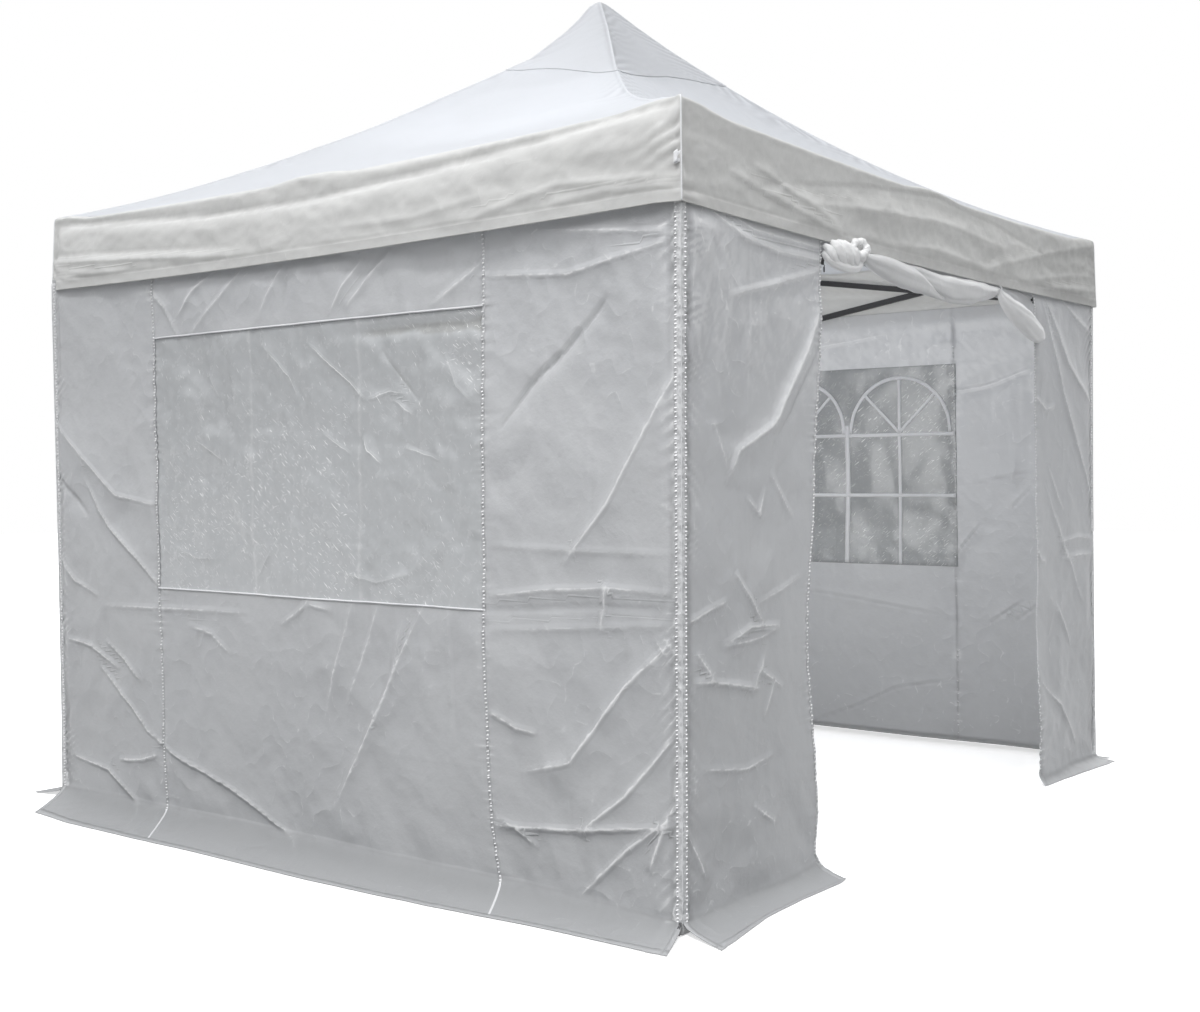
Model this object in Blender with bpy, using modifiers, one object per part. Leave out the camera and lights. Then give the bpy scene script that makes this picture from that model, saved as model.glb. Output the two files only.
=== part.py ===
"""A 3 m pop-up marquee: a folding steel frame under a four-sided tent roof, with three
window walls, two front wall strips and a door panel rolled up under the front valance.
The front faces -Y, the origin is on the ground under the peak, and units are metres."""

import math

import bmesh
import bpy
from mathutils import Matrix, Vector

# Driving dimensions
HALF_SIDE = 1.5
EAVE_HEIGHT = 2.24
PEAK_HEIGHT = 3.18
EAVE_SAG = 0.02
GORE_SAG = 0.035
APEX_ROUNDING = 0.018
VALANCE_BOTTOM = 1.955
CLOTH = 0.005
CAP_CLOTH = 0.003
FILM = 0.002
GAP = 0.0003

# Walls: the sheets hang just inside the valances and end in a skirt that turns outward at the
# foot. The skirt takes SKIRT_SHARE of each sheet's rows
WALL_TOP = 2.005
WALL_FACE = HALF_SIDE - CLOTH - GAP
WALL_BACK = WALL_FACE - CLOTH
WALL_FOOT = 0.006
FLARE_START = 0.11
FLARE_POWER = 2.2
SIDE_FLARE = (0.2165, 0.1625)
BACK_FLARE = (0.1665, 0.1515)
FRONT_FLARE = (0.0595, 0.1677)
SKIRT_SHARE = 0.4
WINDOW_HALF_WIDTH = 0.81
WINDOW_BOTTOM = 0.85
WINDOW_TOP = 1.73
DOOR_LEFT = -0.80
DOOR_RIGHT = 0.92

# Rolled door panel
ROLL_RADIUS = 0.045
ROLL_PATH = [(-0.74, 1.895), (-0.40, 1.88), (0.0, 1.872), (0.35, 1.88),
             (0.60, 1.895), (0.74, 1.86), (0.84, 1.80)]

# Frame
LEG_OUTER = 0.032
LEG_WALL = 0.0015
LEG_TOP = 2.2
UPPER_LEG_FOOT = 0.95
LOWER_LEG_TOP = 1.35
FOOT_PLATE = 0.08
FOOT_THICK = 0.004
PEG_HOLE_RADIUS = 0.005
PEG_HOLE_INSET = 0.012
COLLAR = 0.046
COLLAR_HEIGHT = 0.06
LEG_CENTRE = WALL_BACK - GAP - COLLAR / 2
ARM_LENGTH = 0.045
ARM_WIDTH = 0.040
ARM_HEIGHT = 0.036
BAR_HEIGHT = 0.025
BAR_THICK = 0.013
BAR_OFFSET = 0.007
SCISSOR_TOP = 2.195
SCISSOR_LOW = 1.975
BOLT_RADIUS = 0.006
CONNECTOR_LENGTH = 0.06
CONNECTOR_HEIGHT = 0.045
END_BLOCK = 0.034
HUB_WIDTH = 0.1
HUB_HEIGHT = 0.05
SLOT_DEPTH = 0.02
POLE_RADIUS = 0.0125
POLE_TIP_RADIUS = 0.0135
POLE_BOTTOM = 1.93
POLE_SEAT = 0.003
CAP_HALF_WIDTH = 0.27


def start_scene():
    for old in list(bpy.data.objects):
        bpy.data.objects.remove(old)
    parts = bpy.data.collections.new("marquee_tent")
    helpers = bpy.data.collections.new("cutters")
    helpers.hide_render = True
    bpy.context.scene.collection.children.link(parts)
    bpy.context.scene.collection.children.link(helpers)
    return parts, helpers


def make_material(name, colour, roughness, metallic=0.0, alpha=1.0):
    material = bpy.data.materials.new(name)
    material.use_nodes = True
    shader = material.node_tree.nodes["Principled BSDF"]
    shader.inputs["Base Color"].default_value = (*colour, 1)
    shader.inputs["Roughness"].default_value = roughness
    shader.inputs["Metallic"].default_value = metallic
    shader.inputs["Alpha"].default_value = alpha
    return material


PARTS, HELPERS = start_scene()
ROOF_CLOTH = make_material("roof_polyester", (0.86, 0.86, 0.84), 0.75)
WALL_CLOTH = make_material("wall_polyester", (0.72, 0.73, 0.75), 0.6)
CLEAR_FILM = make_material("window_film", (0.75, 0.78, 0.78), 0.1, alpha=0.5)
BLACK_STEEL = make_material("black_powder_coated_steel", (0.02, 0.02, 0.022), 0.4, 0.6)
BLACK_PLASTIC = make_material("black_nylon", (0.015, 0.015, 0.016), 0.5)


def new_object(name, mesh_data, material, collection=None):
    mesh = bpy.data.meshes.new(name)
    bmesh.ops.recalc_face_normals(mesh_data, faces=mesh_data.faces)
    mesh_data.to_mesh(mesh)
    mesh_data.free()
    mesh.materials.append(material)
    obj = bpy.data.objects.new(name, mesh)
    (collection or PARTS).objects.link(obj)
    if collection:
        obj.hide_render = True
        obj.display_type = "WIRE"
    return obj


def add_box(shape, centre, size, turn=None):
    place = Matrix.Translation(centre) @ (turn or Matrix.Identity(4)) @ Matrix.Diagonal((*size, 1))
    bmesh.ops.create_cube(shape, size=1, matrix=place)


def add_rod(shape, centre, radius, length, axis, sides=12):
    turn = Vector(axis).to_track_quat("Z", "Y").to_matrix().to_4x4()
    bmesh.ops.create_cone(shape, cap_ends=True, segments=sides, radius1=radius, radius2=radius,
                          depth=length, matrix=Matrix.Translation(centre) @ turn)


def boolean(obj, other, operation):
    modifier = obj.modifiers.new(operation.lower(), "BOOLEAN")
    modifier.operation = operation
    modifier.object = other
    modifier.solver = "EXACT"
    modifier.use_self = True


def fuse(name, material, base, others, turn=None):
    """One solid from overlapping shapes, turned to its side of the tent."""
    if turn:
        for shape in (base, others):
            bmesh.ops.transform(shape, matrix=turn, verts=shape.verts)
    obj = new_object(name, base, material)
    boolean(obj, new_object(name + "_joined", others, material, HELPERS), "UNION")
    return obj


def cut(obj, shape, turn=None):
    if turn:
        bmesh.ops.transform(shape, matrix=turn, verts=shape.verts)
    boolean(obj, new_object(obj.name + "_cut", shape, obj.data.materials[0], HELPERS), "DIFFERENCE")


def turned(quarter):
    """A quarter turn about the peak for each side: front, right, back, left."""
    return Matrix.Rotation(math.radians(90 * quarter), 4, "Z")


SIDES = {"front": 0, "right": 1, "back": 2, "left": 3}
CORNERS = {"front_left": 0, "front_right": 1, "back_right": 2, "back_left": 3}


def roof_height(across, out):
    """Top of the roof cloth: rises from the eave to the peak, hollow between the hips."""
    reach = max(abs(across), abs(out))
    ring = math.hypot(reach, APEX_ROUNDING) / HALF_SIDE
    climb = max(0.0, 1 - ring)
    hip = EAVE_HEIGHT + (PEAK_HEIGHT - EAVE_HEIGHT) * (0.44 * climb + 0.56 * climb ** 2)
    between = 1 - (min(abs(across), abs(out)) / reach) ** 2 if reach else 0
    sag = EAVE_SAG * (1 - climb) ** 2 + 4 * GORE_SAG * climb * (1 - climb)
    return hip - sag * between


def cloth_sheet(name, columns, rows, place, thickness, material, turn):
    """A grid laid out by place(u, v) with u and v from 0 to 1, thickened inward."""
    sheet = bmesh.new()
    bmesh.ops.create_grid(sheet, x_segments=columns, y_segments=rows, size=1)
    for vertex in sheet.verts:
        vertex.co = place((vertex.co.x + 1) / 2, (vertex.co.y + 1) / 2)
    bmesh.ops.transform(sheet, matrix=turn, verts=sheet.verts)
    mesh = bpy.data.meshes.new(name)
    sheet.to_mesh(mesh)
    sheet.free()
    mesh.materials.append(material)
    obj = bpy.data.objects.new(name, mesh)
    PARTS.objects.link(obj)
    solid = obj.modifiers.new("thickness", "SOLIDIFY")
    solid.thickness = thickness
    solid.offset = -1
    return obj


def make_gore(side, quarter):
    """One roof panel between two hips, as a sheet with upright edges that meets its neighbours."""
    eave = HALF_SIDE - CLOTH - GAP
    inner = CAP_HALF_WIDTH + GAP
    gore = bmesh.new()
    bmesh.ops.create_grid(gore, x_segments=8, y_segments=9, size=1)
    for vertex in gore.verts:
        out = eave + (inner - eave) * (vertex.co.y + 1) / 2
        across = vertex.co.x * (out - GAP)
        vertex.co = (across, -out, roof_height(across, out))
    lower = bmesh.ops.extrude_face_region(gore, geom=list(gore.faces))["geom"]
    bmesh.ops.translate(gore, vec=(0, 0, -CLOTH),
                        verts=[part for part in lower if isinstance(part, bmesh.types.BMVert)])
    bmesh.ops.transform(gore, matrix=turned(quarter), verts=gore.verts)
    new_object("roof_gore_" + side, gore, ROOF_CLOTH)


def make_peak_cap():
    """The patch of doubled cloth over the peak, a little proud of the panels round it."""
    cap = bmesh.new()
    bmesh.ops.create_grid(cap, x_segments=12, y_segments=12, size=1)
    for vertex in cap.verts:
        x, y = (CAP_HALF_WIDTH * math.copysign(abs(part) ** 1.6, part) for part in vertex.co.xy)
        vertex.co = (x, y, roof_height(x, y) - CLOTH)
    hips = [vertex for vertex in cap.verts if abs(abs(vertex.co.x) - abs(vertex.co.y)) < 1e-6]
    bmesh.ops.connect_verts(cap, verts=hips)
    upper = bmesh.ops.extrude_face_region(cap, geom=list(cap.faces))["geom"]
    bmesh.ops.translate(cap, vec=(0, 0, CLOTH + CAP_CLOTH),
                        verts=[part for part in upper if isinstance(part, bmesh.types.BMVert)])
    new_object("peak_cap", cap, ROOF_CLOTH)


def make_valance(side, quarter):
    """The band below the eave. The front and back bands fit between the other two."""
    reach = HALF_SIDE if quarter % 2 else HALF_SIDE - CLOTH - GAP

    def place(u, v):
        across = reach * (2 * u - 1)
        top = EAVE_HEIGHT - EAVE_SAG * (1 - (across / HALF_SIDE) ** 2)
        return across, -HALF_SIDE, VALANCE_BOTTOM + (top - VALANCE_BOTTOM) * v

    cloth_sheet("valance_" + side, 10, 2, place, CLOTH, ROOF_CLOTH, turned(quarter))


def make_wall(name, quarter, start, end, flare, window=False):
    """An upright sheet whose foot flares outward into the skirt, by the first flare at the
    middle of the side and the second at the corners."""
    middle_flare, corner_flare = flare

    def place(u, v):
        across = start + (end - start) * u
        if v > SKIRT_SHARE:
            share = (v - SKIRT_SHARE) / (1 - SKIRT_SHARE)
            return across, -WALL_FACE, FLARE_START + (WALL_TOP - FLARE_START) * share
        height = WALL_FOOT + (FLARE_START - WALL_FOOT) * v / SKIRT_SHARE
        reach = middle_flare + (corner_flare - middle_flare) * (across / HALF_SIDE) ** 2
        out = reach * (1 - height / FLARE_START) ** FLARE_POWER
        return across, -WALL_FACE - out, height

    wall = cloth_sheet(name, 6, 10, place, CLOTH, WALL_CLOTH, turned(quarter))
    if not window:
        return
    middle = (WINDOW_BOTTOM + WINDOW_TOP) / 2
    size = (2 * WINDOW_HALF_WIDTH, 6 * CLOTH, WINDOW_TOP - WINDOW_BOTTOM)
    hole = bmesh.new()
    add_box(hole, (0, -WALL_FACE, middle), size)
    cut(wall, hole, turned(quarter))
    film = bmesh.new()
    centre = (0, -WALL_FACE + CLOTH / 2, middle)
    add_box(film, centre, (size[0] - 2 * GAP, FILM, size[2] - 2 * GAP))
    bmesh.ops.transform(film, matrix=turned(quarter), verts=film.verts)
    new_object(name.replace("wall", "window_film"), film, CLEAR_FILM)


def curve_mesh(name, path, radius):
    """A round tube along a path, as a closed mesh."""
    curve = bpy.data.curves.new(name, "CURVE")
    curve.dimensions = "3D"
    curve.bevel_depth = radius
    curve.bevel_resolution = 2
    curve.use_fill_caps = True
    spline = curve.splines.new("POLY")
    spline.points.add(len(path) - 1)
    for point, spot in zip(spline.points, path):
        point.co = (*spot, 1)
    holder = bpy.data.objects.new(name, curve)
    PARTS.objects.link(holder)
    graph = bpy.context.evaluated_depsgraph_get()
    mesh = bpy.data.meshes.new_from_object(holder.evaluated_get(graph))
    bpy.data.objects.remove(holder)
    tube = bmesh.new()
    tube.from_mesh(mesh)
    bpy.data.meshes.remove(mesh)
    bmesh.ops.remove_doubles(tube, verts=tube.verts, dist=1e-5)
    return tube


def make_rolled_door():
    """The door panel rolled up along the opening, with the loose end drooping at the right."""
    middle_y = -WALL_FACE + CLOTH / 2
    roll = curve_mesh("roll", [(x, middle_y, z) for x, z in ROLL_PATH], ROLL_RADIUS)
    band = bmesh.new()
    left = DOOR_LEFT + GAP
    right = DOOR_RIGHT - GAP
    bottom = VALANCE_BOTTOM - 0.03
    add_box(band, ((left + right) / 2, middle_y, (bottom + WALL_TOP) / 2),
            (right - left, CLOTH, WALL_TOP - bottom))
    fuse("rolled_door", WALL_CLOTH, roll, band)


def corner_spot(quarter):
    """Turns the front left corner, where the leg is at -X -Y, to each corner."""
    return turned(quarter) @ Matrix.Translation((-LEG_CENTRE, -LEG_CENTRE, 0))


def make_leg(corner, quarter):
    """A square tube, open at both ends, that the lower leg slides in."""
    spot = corner_spot(quarter)
    upper = bmesh.new()
    add_box(upper, (0, 0, (UPPER_LEG_FOOT + LEG_TOP) / 2),
            (LEG_OUTER, LEG_OUTER, LEG_TOP - UPPER_LEG_FOOT))
    bmesh.ops.transform(upper, matrix=spot, verts=upper.verts)
    upper_leg = new_object("leg_upper_" + corner, upper, BLACK_STEEL)
    inside = LEG_OUTER - 2 * LEG_WALL
    hollow = bmesh.new()
    add_box(hollow, (0, 0, (UPPER_LEG_FOOT + LEG_TOP) / 2), (inside, inside, LEG_TOP))
    cut(upper_leg, hollow, spot)

    lower_outer = inside - 2 * GAP
    lower = bmesh.new()
    add_box(lower, (0, 0, (FOOT_THICK + LOWER_LEG_TOP) / 2),
            (lower_outer, lower_outer, LOWER_LEG_TOP - FOOT_THICK))
    plate = bmesh.new()
    inward = (FOOT_PLATE - COLLAR) / 2
    add_box(plate, (inward, inward, FOOT_THICK), (FOOT_PLATE, FOOT_PLATE, 2 * FOOT_THICK))
    lower_leg = fuse("leg_lower_" + corner, BLACK_STEEL, lower, plate, spot)
    bore = bmesh.new()
    tube_inside = lower_outer - 2 * LEG_WALL
    add_box(bore, (0, 0, FOOT_THICK * 3 + LOWER_LEG_TOP / 2), (tube_inside, tube_inside, LOWER_LEG_TOP))
    peg_spot = inward + FOOT_PLATE / 2 - PEG_HOLE_INSET
    add_rod(bore, (peg_spot, peg_spot, 0), PEG_HOLE_RADIUS, 6 * FOOT_THICK, (0, 0, 1))
    cut(lower_leg, bore, spot)


def make_collar(name, quarter, middle, top, bar_side, capped):
    """A nylon sleeve round the leg with two forked arms that hold the ends of the scissor bars."""
    spot = corner_spot(quarter)
    bottom = middle - COLLAR_HEIGHT / 2
    sleeve = bmesh.new()
    add_box(sleeve, (0, 0, (bottom + top) / 2), (COLLAR, COLLAR, top - bottom))
    arms = bmesh.new()
    reach = COLLAR / 2 + ARM_LENGTH / 2
    add_box(arms, (reach, 0, middle), (ARM_LENGTH + 0.01, ARM_WIDTH, ARM_HEIGHT))
    add_box(arms, (0, reach, middle), (ARM_WIDTH, ARM_LENGTH + 0.01, ARM_HEIGHT))
    collar = fuse(name, BLACK_PLASTIC, sleeve, arms, spot)
    hollow = bmesh.new()
    bore = LEG_OUTER + 2 * GAP
    roof_of_bore = LEG_TOP + GAP if capped else top + 0.02
    add_box(hollow, (0, 0, (bottom - 0.02 + roof_of_bore) / 2), (bore, bore, roof_of_bore - bottom + 0.02))
    slot = BAR_THICK + 2 * GAP
    slot_start = COLLAR / 2 + 0.004
    length = ARM_LENGTH + 0.02
    slot_middle = slot_start + length / 2
    add_box(hollow, (slot_middle, bar_side * BAR_OFFSET, middle), (length, slot, 2 * ARM_HEIGHT))
    add_box(hollow, (-bar_side * -BAR_OFFSET, slot_middle, middle), (slot, length, 2 * ARM_HEIGHT))
    cut(collar, hollow, spot)


def add_bar(shape, start, end, offset):
    """A flat bar in an upright plane along X, from start to end given as (x, z)."""
    run = Vector((end[0] - start[0], 0, end[1] - start[1]))
    turn = Matrix.Rotation(math.atan2(-run.z, run.x), 4, "Y")
    centre = ((start[0] + end[0]) / 2, offset, (start[1] + end[1]) / 2)
    add_box(shape, centre, (run.length, BAR_THICK, BAR_HEIGHT), turn)


def make_side_truss(side, quarter):
    """Two scissors side by side, joined by an upper and a lower connector at the middle."""
    centre = -LEG_CENTRE
    end = LEG_CENTRE - COLLAR / 2 - 0.007
    bars = bmesh.new()
    joined = bmesh.new()
    connector = (CONNECTOR_LENGTH, COLLAR, CONNECTOR_HEIGHT)
    add_box(bars, (0, centre, SCISSOR_LOW), connector)
    add_box(joined, (0, centre, SCISSOR_TOP - 0.003), connector)
    middle_height = (SCISSOR_TOP + SCISSOR_LOW) / 2
    for hand in (-1, 1):
        add_bar(joined, (0, SCISSOR_LOW), (hand * end, SCISSOR_TOP), centre - BAR_OFFSET)
        add_bar(joined, (0, SCISSOR_TOP), (hand * end, SCISSOR_LOW), centre + BAR_OFFSET)
        add_rod(joined, (hand * end / 2, centre, middle_height), BOLT_RADIUS,
                2 * (BAR_OFFSET + BAR_THICK / 2) + 0.005, (0, 1, 0))
    fuse("side_truss_" + side, BLACK_STEEL, bars, joined, turned(quarter))


def make_roof_truss(side, quarter):
    """A scissor from the middle of a side to the hub."""
    outer = LEG_CENTRE - COLLAR / 2 - GAP
    block_middle = outer - END_BLOCK / 2
    inner = HUB_WIDTH / 2 - SLOT_DEPTH + 0.004
    turn = turned(quarter) @ Matrix.Rotation(math.radians(-90), 4, "Z")
    bars = bmesh.new()
    joined = bmesh.new()
    add_bar(bars, (inner, SCISSOR_LOW), (block_middle, SCISSOR_TOP), -BAR_OFFSET)
    add_bar(joined, (inner, SCISSOR_TOP), (block_middle, SCISSOR_LOW), BAR_OFFSET)
    for height in (SCISSOR_TOP, SCISSOR_LOW):
        add_box(joined, (block_middle, 0, height), (END_BLOCK, END_BLOCK, END_BLOCK))
    middle = ((inner + block_middle) / 2, 0, (SCISSOR_TOP + SCISSOR_LOW) / 2)
    add_rod(joined, middle, BOLT_RADIUS, 2 * (BAR_OFFSET + BAR_THICK / 2) + 0.005, (0, 1, 0))
    fuse("roof_truss_" + side, BLACK_STEEL, bars, joined, turn)


def make_hub(name, middle, bar_side):
    """A nylon hub on the peak pole with a slot in each side for a truss bar."""
    hub = bmesh.new()
    add_box(hub, (0, 0, middle), (HUB_WIDTH, HUB_WIDTH, HUB_HEIGHT))
    body = new_object(name, hub, BLACK_PLASTIC)
    slots = bmesh.new()
    add_rod(slots, (0, 0, middle), POLE_RADIUS + GAP, 2 * HUB_HEIGHT, (0, 0, 1), 24)
    slot = BAR_THICK + 2 * GAP
    for quarter in range(4):
        turn = turned(quarter)
        place = turn @ Vector((HUB_WIDTH / 2, bar_side * BAR_OFFSET, middle))
        add_box(slots, place, (2 * SLOT_DEPTH, slot, 2 * HUB_HEIGHT), turn)
    cut(body, slots)


def make_peak_pole():
    """A turned pole whose round tip carries the middle of the roof."""
    tip = roof_height(0, 0) - CLOTH - POLE_SEAT
    points = [(POLE_TIP_RADIUS * math.sin(math.radians(15 * step)),
               tip - POLE_TIP_RADIUS * (1 - math.cos(math.radians(15 * step)))) for step in range(7)]
    points += [(POLE_TIP_RADIUS, tip - 0.04), (POLE_RADIUS, tip - 0.04), (POLE_RADIUS, POLE_BOTTOM),
               (0, POLE_BOTTOM)]
    outline = bmesh.new()
    spots = [outline.verts.new((x, 0, z)) for x, z in points]
    for first, second in zip(spots, spots[1:]):
        outline.edges.new((first, second))
    mesh = bpy.data.meshes.new("peak_pole")
    outline.to_mesh(mesh)
    outline.free()
    mesh.materials.append(BLACK_STEEL)
    pole = bpy.data.objects.new("peak_pole", mesh)
    PARTS.objects.link(pole)
    screw = pole.modifiers.new("turn", "SCREW")
    screw.steps = 20
    screw.render_steps = 20
    screw.use_merge_vertices = True
    screw.merge_threshold = 0.00001


for side_name, side_quarter in SIDES.items():
    make_gore(side_name, side_quarter)
    make_valance(side_name, side_quarter)
    make_side_truss(side_name, side_quarter)
    make_roof_truss(side_name, side_quarter)

for corner_name, corner_quarter in CORNERS.items():
    make_leg(corner_name, corner_quarter)
    bracket_top = roof_height(LEG_CENTRE + COLLAR / 2, LEG_CENTRE - COLLAR / 2) - CLOTH - GAP
    make_collar("corner_bracket_" + corner_name, corner_quarter, SCISSOR_TOP, bracket_top, -1, True)
    slider_top = SCISSOR_LOW + COLLAR_HEIGHT / 2
    make_collar("slider_" + corner_name, corner_quarter, SCISSOR_LOW, slider_top, 1, False)

make_peak_cap()
make_peak_pole()
make_hub("hub_upper", SCISSOR_TOP, 1)
make_hub("hub_lower", SCISSOR_LOW, -1)
make_wall("wall_left", SIDES["left"], -WALL_FACE, WALL_FACE, SIDE_FLARE, window=True)
make_wall("wall_right", SIDES["right"], -WALL_FACE, WALL_FACE, SIDE_FLARE, window=True)
make_wall("wall_back", SIDES["back"], GAP - WALL_BACK, WALL_BACK - GAP, BACK_FLARE, window=True)
make_wall("wall_front_left", SIDES["front"], GAP - WALL_BACK, DOOR_LEFT, FRONT_FLARE)
make_wall("wall_front_right", SIDES["front"], DOOR_RIGHT, WALL_BACK - GAP, FRONT_FLARE)
make_rolled_door()
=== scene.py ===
import math
from itertools import chain

import bpy
import numpy as np
from mathutils import Matrix


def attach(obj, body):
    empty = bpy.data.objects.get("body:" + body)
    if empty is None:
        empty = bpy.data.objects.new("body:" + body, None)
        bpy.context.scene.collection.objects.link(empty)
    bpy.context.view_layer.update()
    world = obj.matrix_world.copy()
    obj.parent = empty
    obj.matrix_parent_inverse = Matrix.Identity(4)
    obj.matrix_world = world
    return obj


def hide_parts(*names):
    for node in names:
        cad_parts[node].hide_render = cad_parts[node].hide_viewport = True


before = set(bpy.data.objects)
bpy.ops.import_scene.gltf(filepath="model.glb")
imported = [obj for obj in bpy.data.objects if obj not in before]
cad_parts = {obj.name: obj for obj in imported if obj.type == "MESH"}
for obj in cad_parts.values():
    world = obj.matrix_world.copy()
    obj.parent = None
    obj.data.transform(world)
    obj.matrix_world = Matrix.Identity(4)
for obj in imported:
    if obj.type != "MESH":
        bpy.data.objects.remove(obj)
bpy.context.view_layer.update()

# the tent's own sizes, in metres, as the frame has them
tent = {
    "half": 1.5, "eave": 2.24, "peak": 3.18, "eaveSag": 0.02, "goreSag": 0.035,
    "wallFace": 1.4947, "wallEnd": 1.494, "wallTop": 2.0, "valanceFoot": 1.955,
    "skirtTop": 0.055, "skirtReach": 0.2, "foot": 0.0035, "eaveInset": 0.013, "seamTop": 1.985,
}
sideTurns = {"front": 0, "right": 1, "back": 2, "left": 3}


# camera, floor and light
cameraFit = {
    "place": (-4.6551, -3.8000, 1.2145), "yaw": 36.752, "pitch": -0.922, "roll": -0.171,
    "lens": 44.07, "shift": -0.0542,
}
light = {
    "sky": ((0.0, 0.20), (0.48, 0.27), (0.62, 0.44), (1.0, 1.35)), "skyStrength": 1.30,
    "skyTint": (0.98, 0.99, 1.0), "sun": 1.76, "sunAngle": 10, "sunFrom": (-0.5, -0.05, 1.0),
    # soft boxes: place, what each points at, side and power in watts
    "boxes": {"key": ((-4.4, -3.1, 4.4), (-1.5, -0.8, 1.0), 1.6, 56.0),
              "right": ((6.0, -1.0, 2.6), (1.5, 0.0, 1.2), 3.0, 52.0),
              "inside": ((-0.9, 0.1, 1.45), (1.5, -0.2, 1.45), 1.2, 29.0),
              "front": ((-1.5, -5.4, 2.8), (-1.0, -1.5, 1.1), 2.0, 13.5)},
}
floorLook = {"size": 60.0, "colour": (0.86, 0.86, 0.86), "glow": 0.6}


def placeCamera():
    yaw, pitch, roll = (math.radians(cameraFit[key]) for key in ("yaw", "pitch", "roll"))
    ahead = np.array((math.cos(yaw) * math.cos(pitch), math.sin(yaw) * math.cos(pitch), math.sin(pitch)))
    level = np.array((math.sin(yaw), -math.cos(yaw), 0.0))
    upward = np.cross(level, ahead)
    right = math.cos(roll) * level + math.sin(roll) * upward
    upper = math.cos(roll) * upward - math.sin(roll) * level
    data = bpy.data.cameras.new("camera")
    data.sensor_width = 36
    data.lens = cameraFit["lens"]
    data.shift_x = cameraFit["shift"]
    camera = bpy.data.objects.new("camera", data)
    turn = np.eye(4)
    turn[:3, :4] = np.column_stack((right, upper, -ahead, cameraFit["place"]))
    camera.matrix_world = Matrix(turn.tolist())
    bpy.context.scene.collection.objects.link(camera)
    bpy.context.scene.camera = camera


placeCamera()
bpy.context.scene.view_settings.view_transform = "Standard"


# shader maths
class Wire:
    # one value in a node tree, so that an expression on values adds its Math nodes
    def __init__(self, finish, socket):
        self.finish, self.socket = finish, socket

    def maths(self, operation, first, second):
        return self.finish.add("ShaderNodeMath", {"operation": operation}, {0: first, 1: second})

    def __add__(self, other):
        return self.maths("ADD", self, other)

    def __sub__(self, other):
        return self.maths("SUBTRACT", self, other)

    def __rsub__(self, other):
        return self.maths("SUBTRACT", other, self)

    def __mul__(self, other):
        return self.maths("MULTIPLY", self, other)

    def __truediv__(self, other):
        return self.maths("DIVIDE", self, other)

    def __pow__(self, other):
        return self.maths("POWER", self, other)

    def __abs__(self):
        return self.maths("ABSOLUTE", self, 0.0)

    __radd__, __rmul__ = __add__, __mul__


class Finish:
    def __init__(self, name):
        self.material = bpy.data.materials.new(name)
        self.material.use_nodes = True
        self.tree = self.material.node_tree
        self.tree.nodes.clear()

    def add(self, kind, settings=None, values=None, out=0):
        node = self.tree.nodes.new(kind)
        for key, value in (settings or {}).items():
            if key == "stops":
                ramp = node.color_ramp.elements
                while len(ramp) < len(value):
                    ramp.new(0.5)
                for stop, (place, colour) in zip(ramp, value):
                    stop.position, stop.color = place, (*colour, 1)
            else:
                setattr(node, key, value)
        for key, value in (values or {}).items():
            if isinstance(value, Wire):
                self.tree.links.new(value.socket, node.inputs[key])
            else:
                node.inputs[key].default_value = value
        return Wire(self, node.outputs[out])

    def objectPlace(self):
        return self.add("ShaderNodeTexCoord", out="Object")

    def planPlace(self):
        return self.add("ShaderNodeUVMap", {"uv_map": "plan"})

    def mark(self, name):
        return self.add("ShaderNodeAttribute", {"attribute_name": name}, out="Fac")

    def noise(self, place, scale, detail=2.0, rough=0.5):
        return self.add("ShaderNodeTexNoise", {}, {"Vector": place, "Scale": scale, "Detail": detail,
                                                   "Roughness": rough})

    def mixed(self, factor, first, second):
        return self.add("ShaderNodeMix", {"data_type": "RGBA"}, {0: factor, 6: first, 7: second}, out=2)

    def limits(self, value, low, high, lowOut=0.0, highOut=1.0):
        return self.add("ShaderNodeMapRange", {"interpolation_type": "SMOOTHSTEP"},
                        {0: value, 1: low, 2: high, 3: lowOut, 4: highOut})

    def dashes(self, plan, turn, long, wide, least):
        # short straight marks in one direction: noise on places turned and stretched along it
        place = self.add("ShaderNodeMapping", {"vector_type": "TEXTURE"},
                         {"Vector": plan, "Rotation": (0.0, 0.0, turn), "Scale": (long, wide, 1.0)})
        return self.limits(self.noise(place, 1.0, 1.0), least, least + 0.07)

    def bump(self, height):
        # height in metres
        return self.add("ShaderNodeBump", {}, {"Height": height, "Strength": 1.0, "Distance": 1.0})

    def principled(self, values):
        return self.add("ShaderNodeBsdfPrincipled", {}, values)

    def done(self, surface):
        node = self.tree.nodes.new("ShaderNodeOutputMaterial")
        self.tree.links.new(surface.socket, node.inputs["Surface"])
        return self.material


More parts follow.
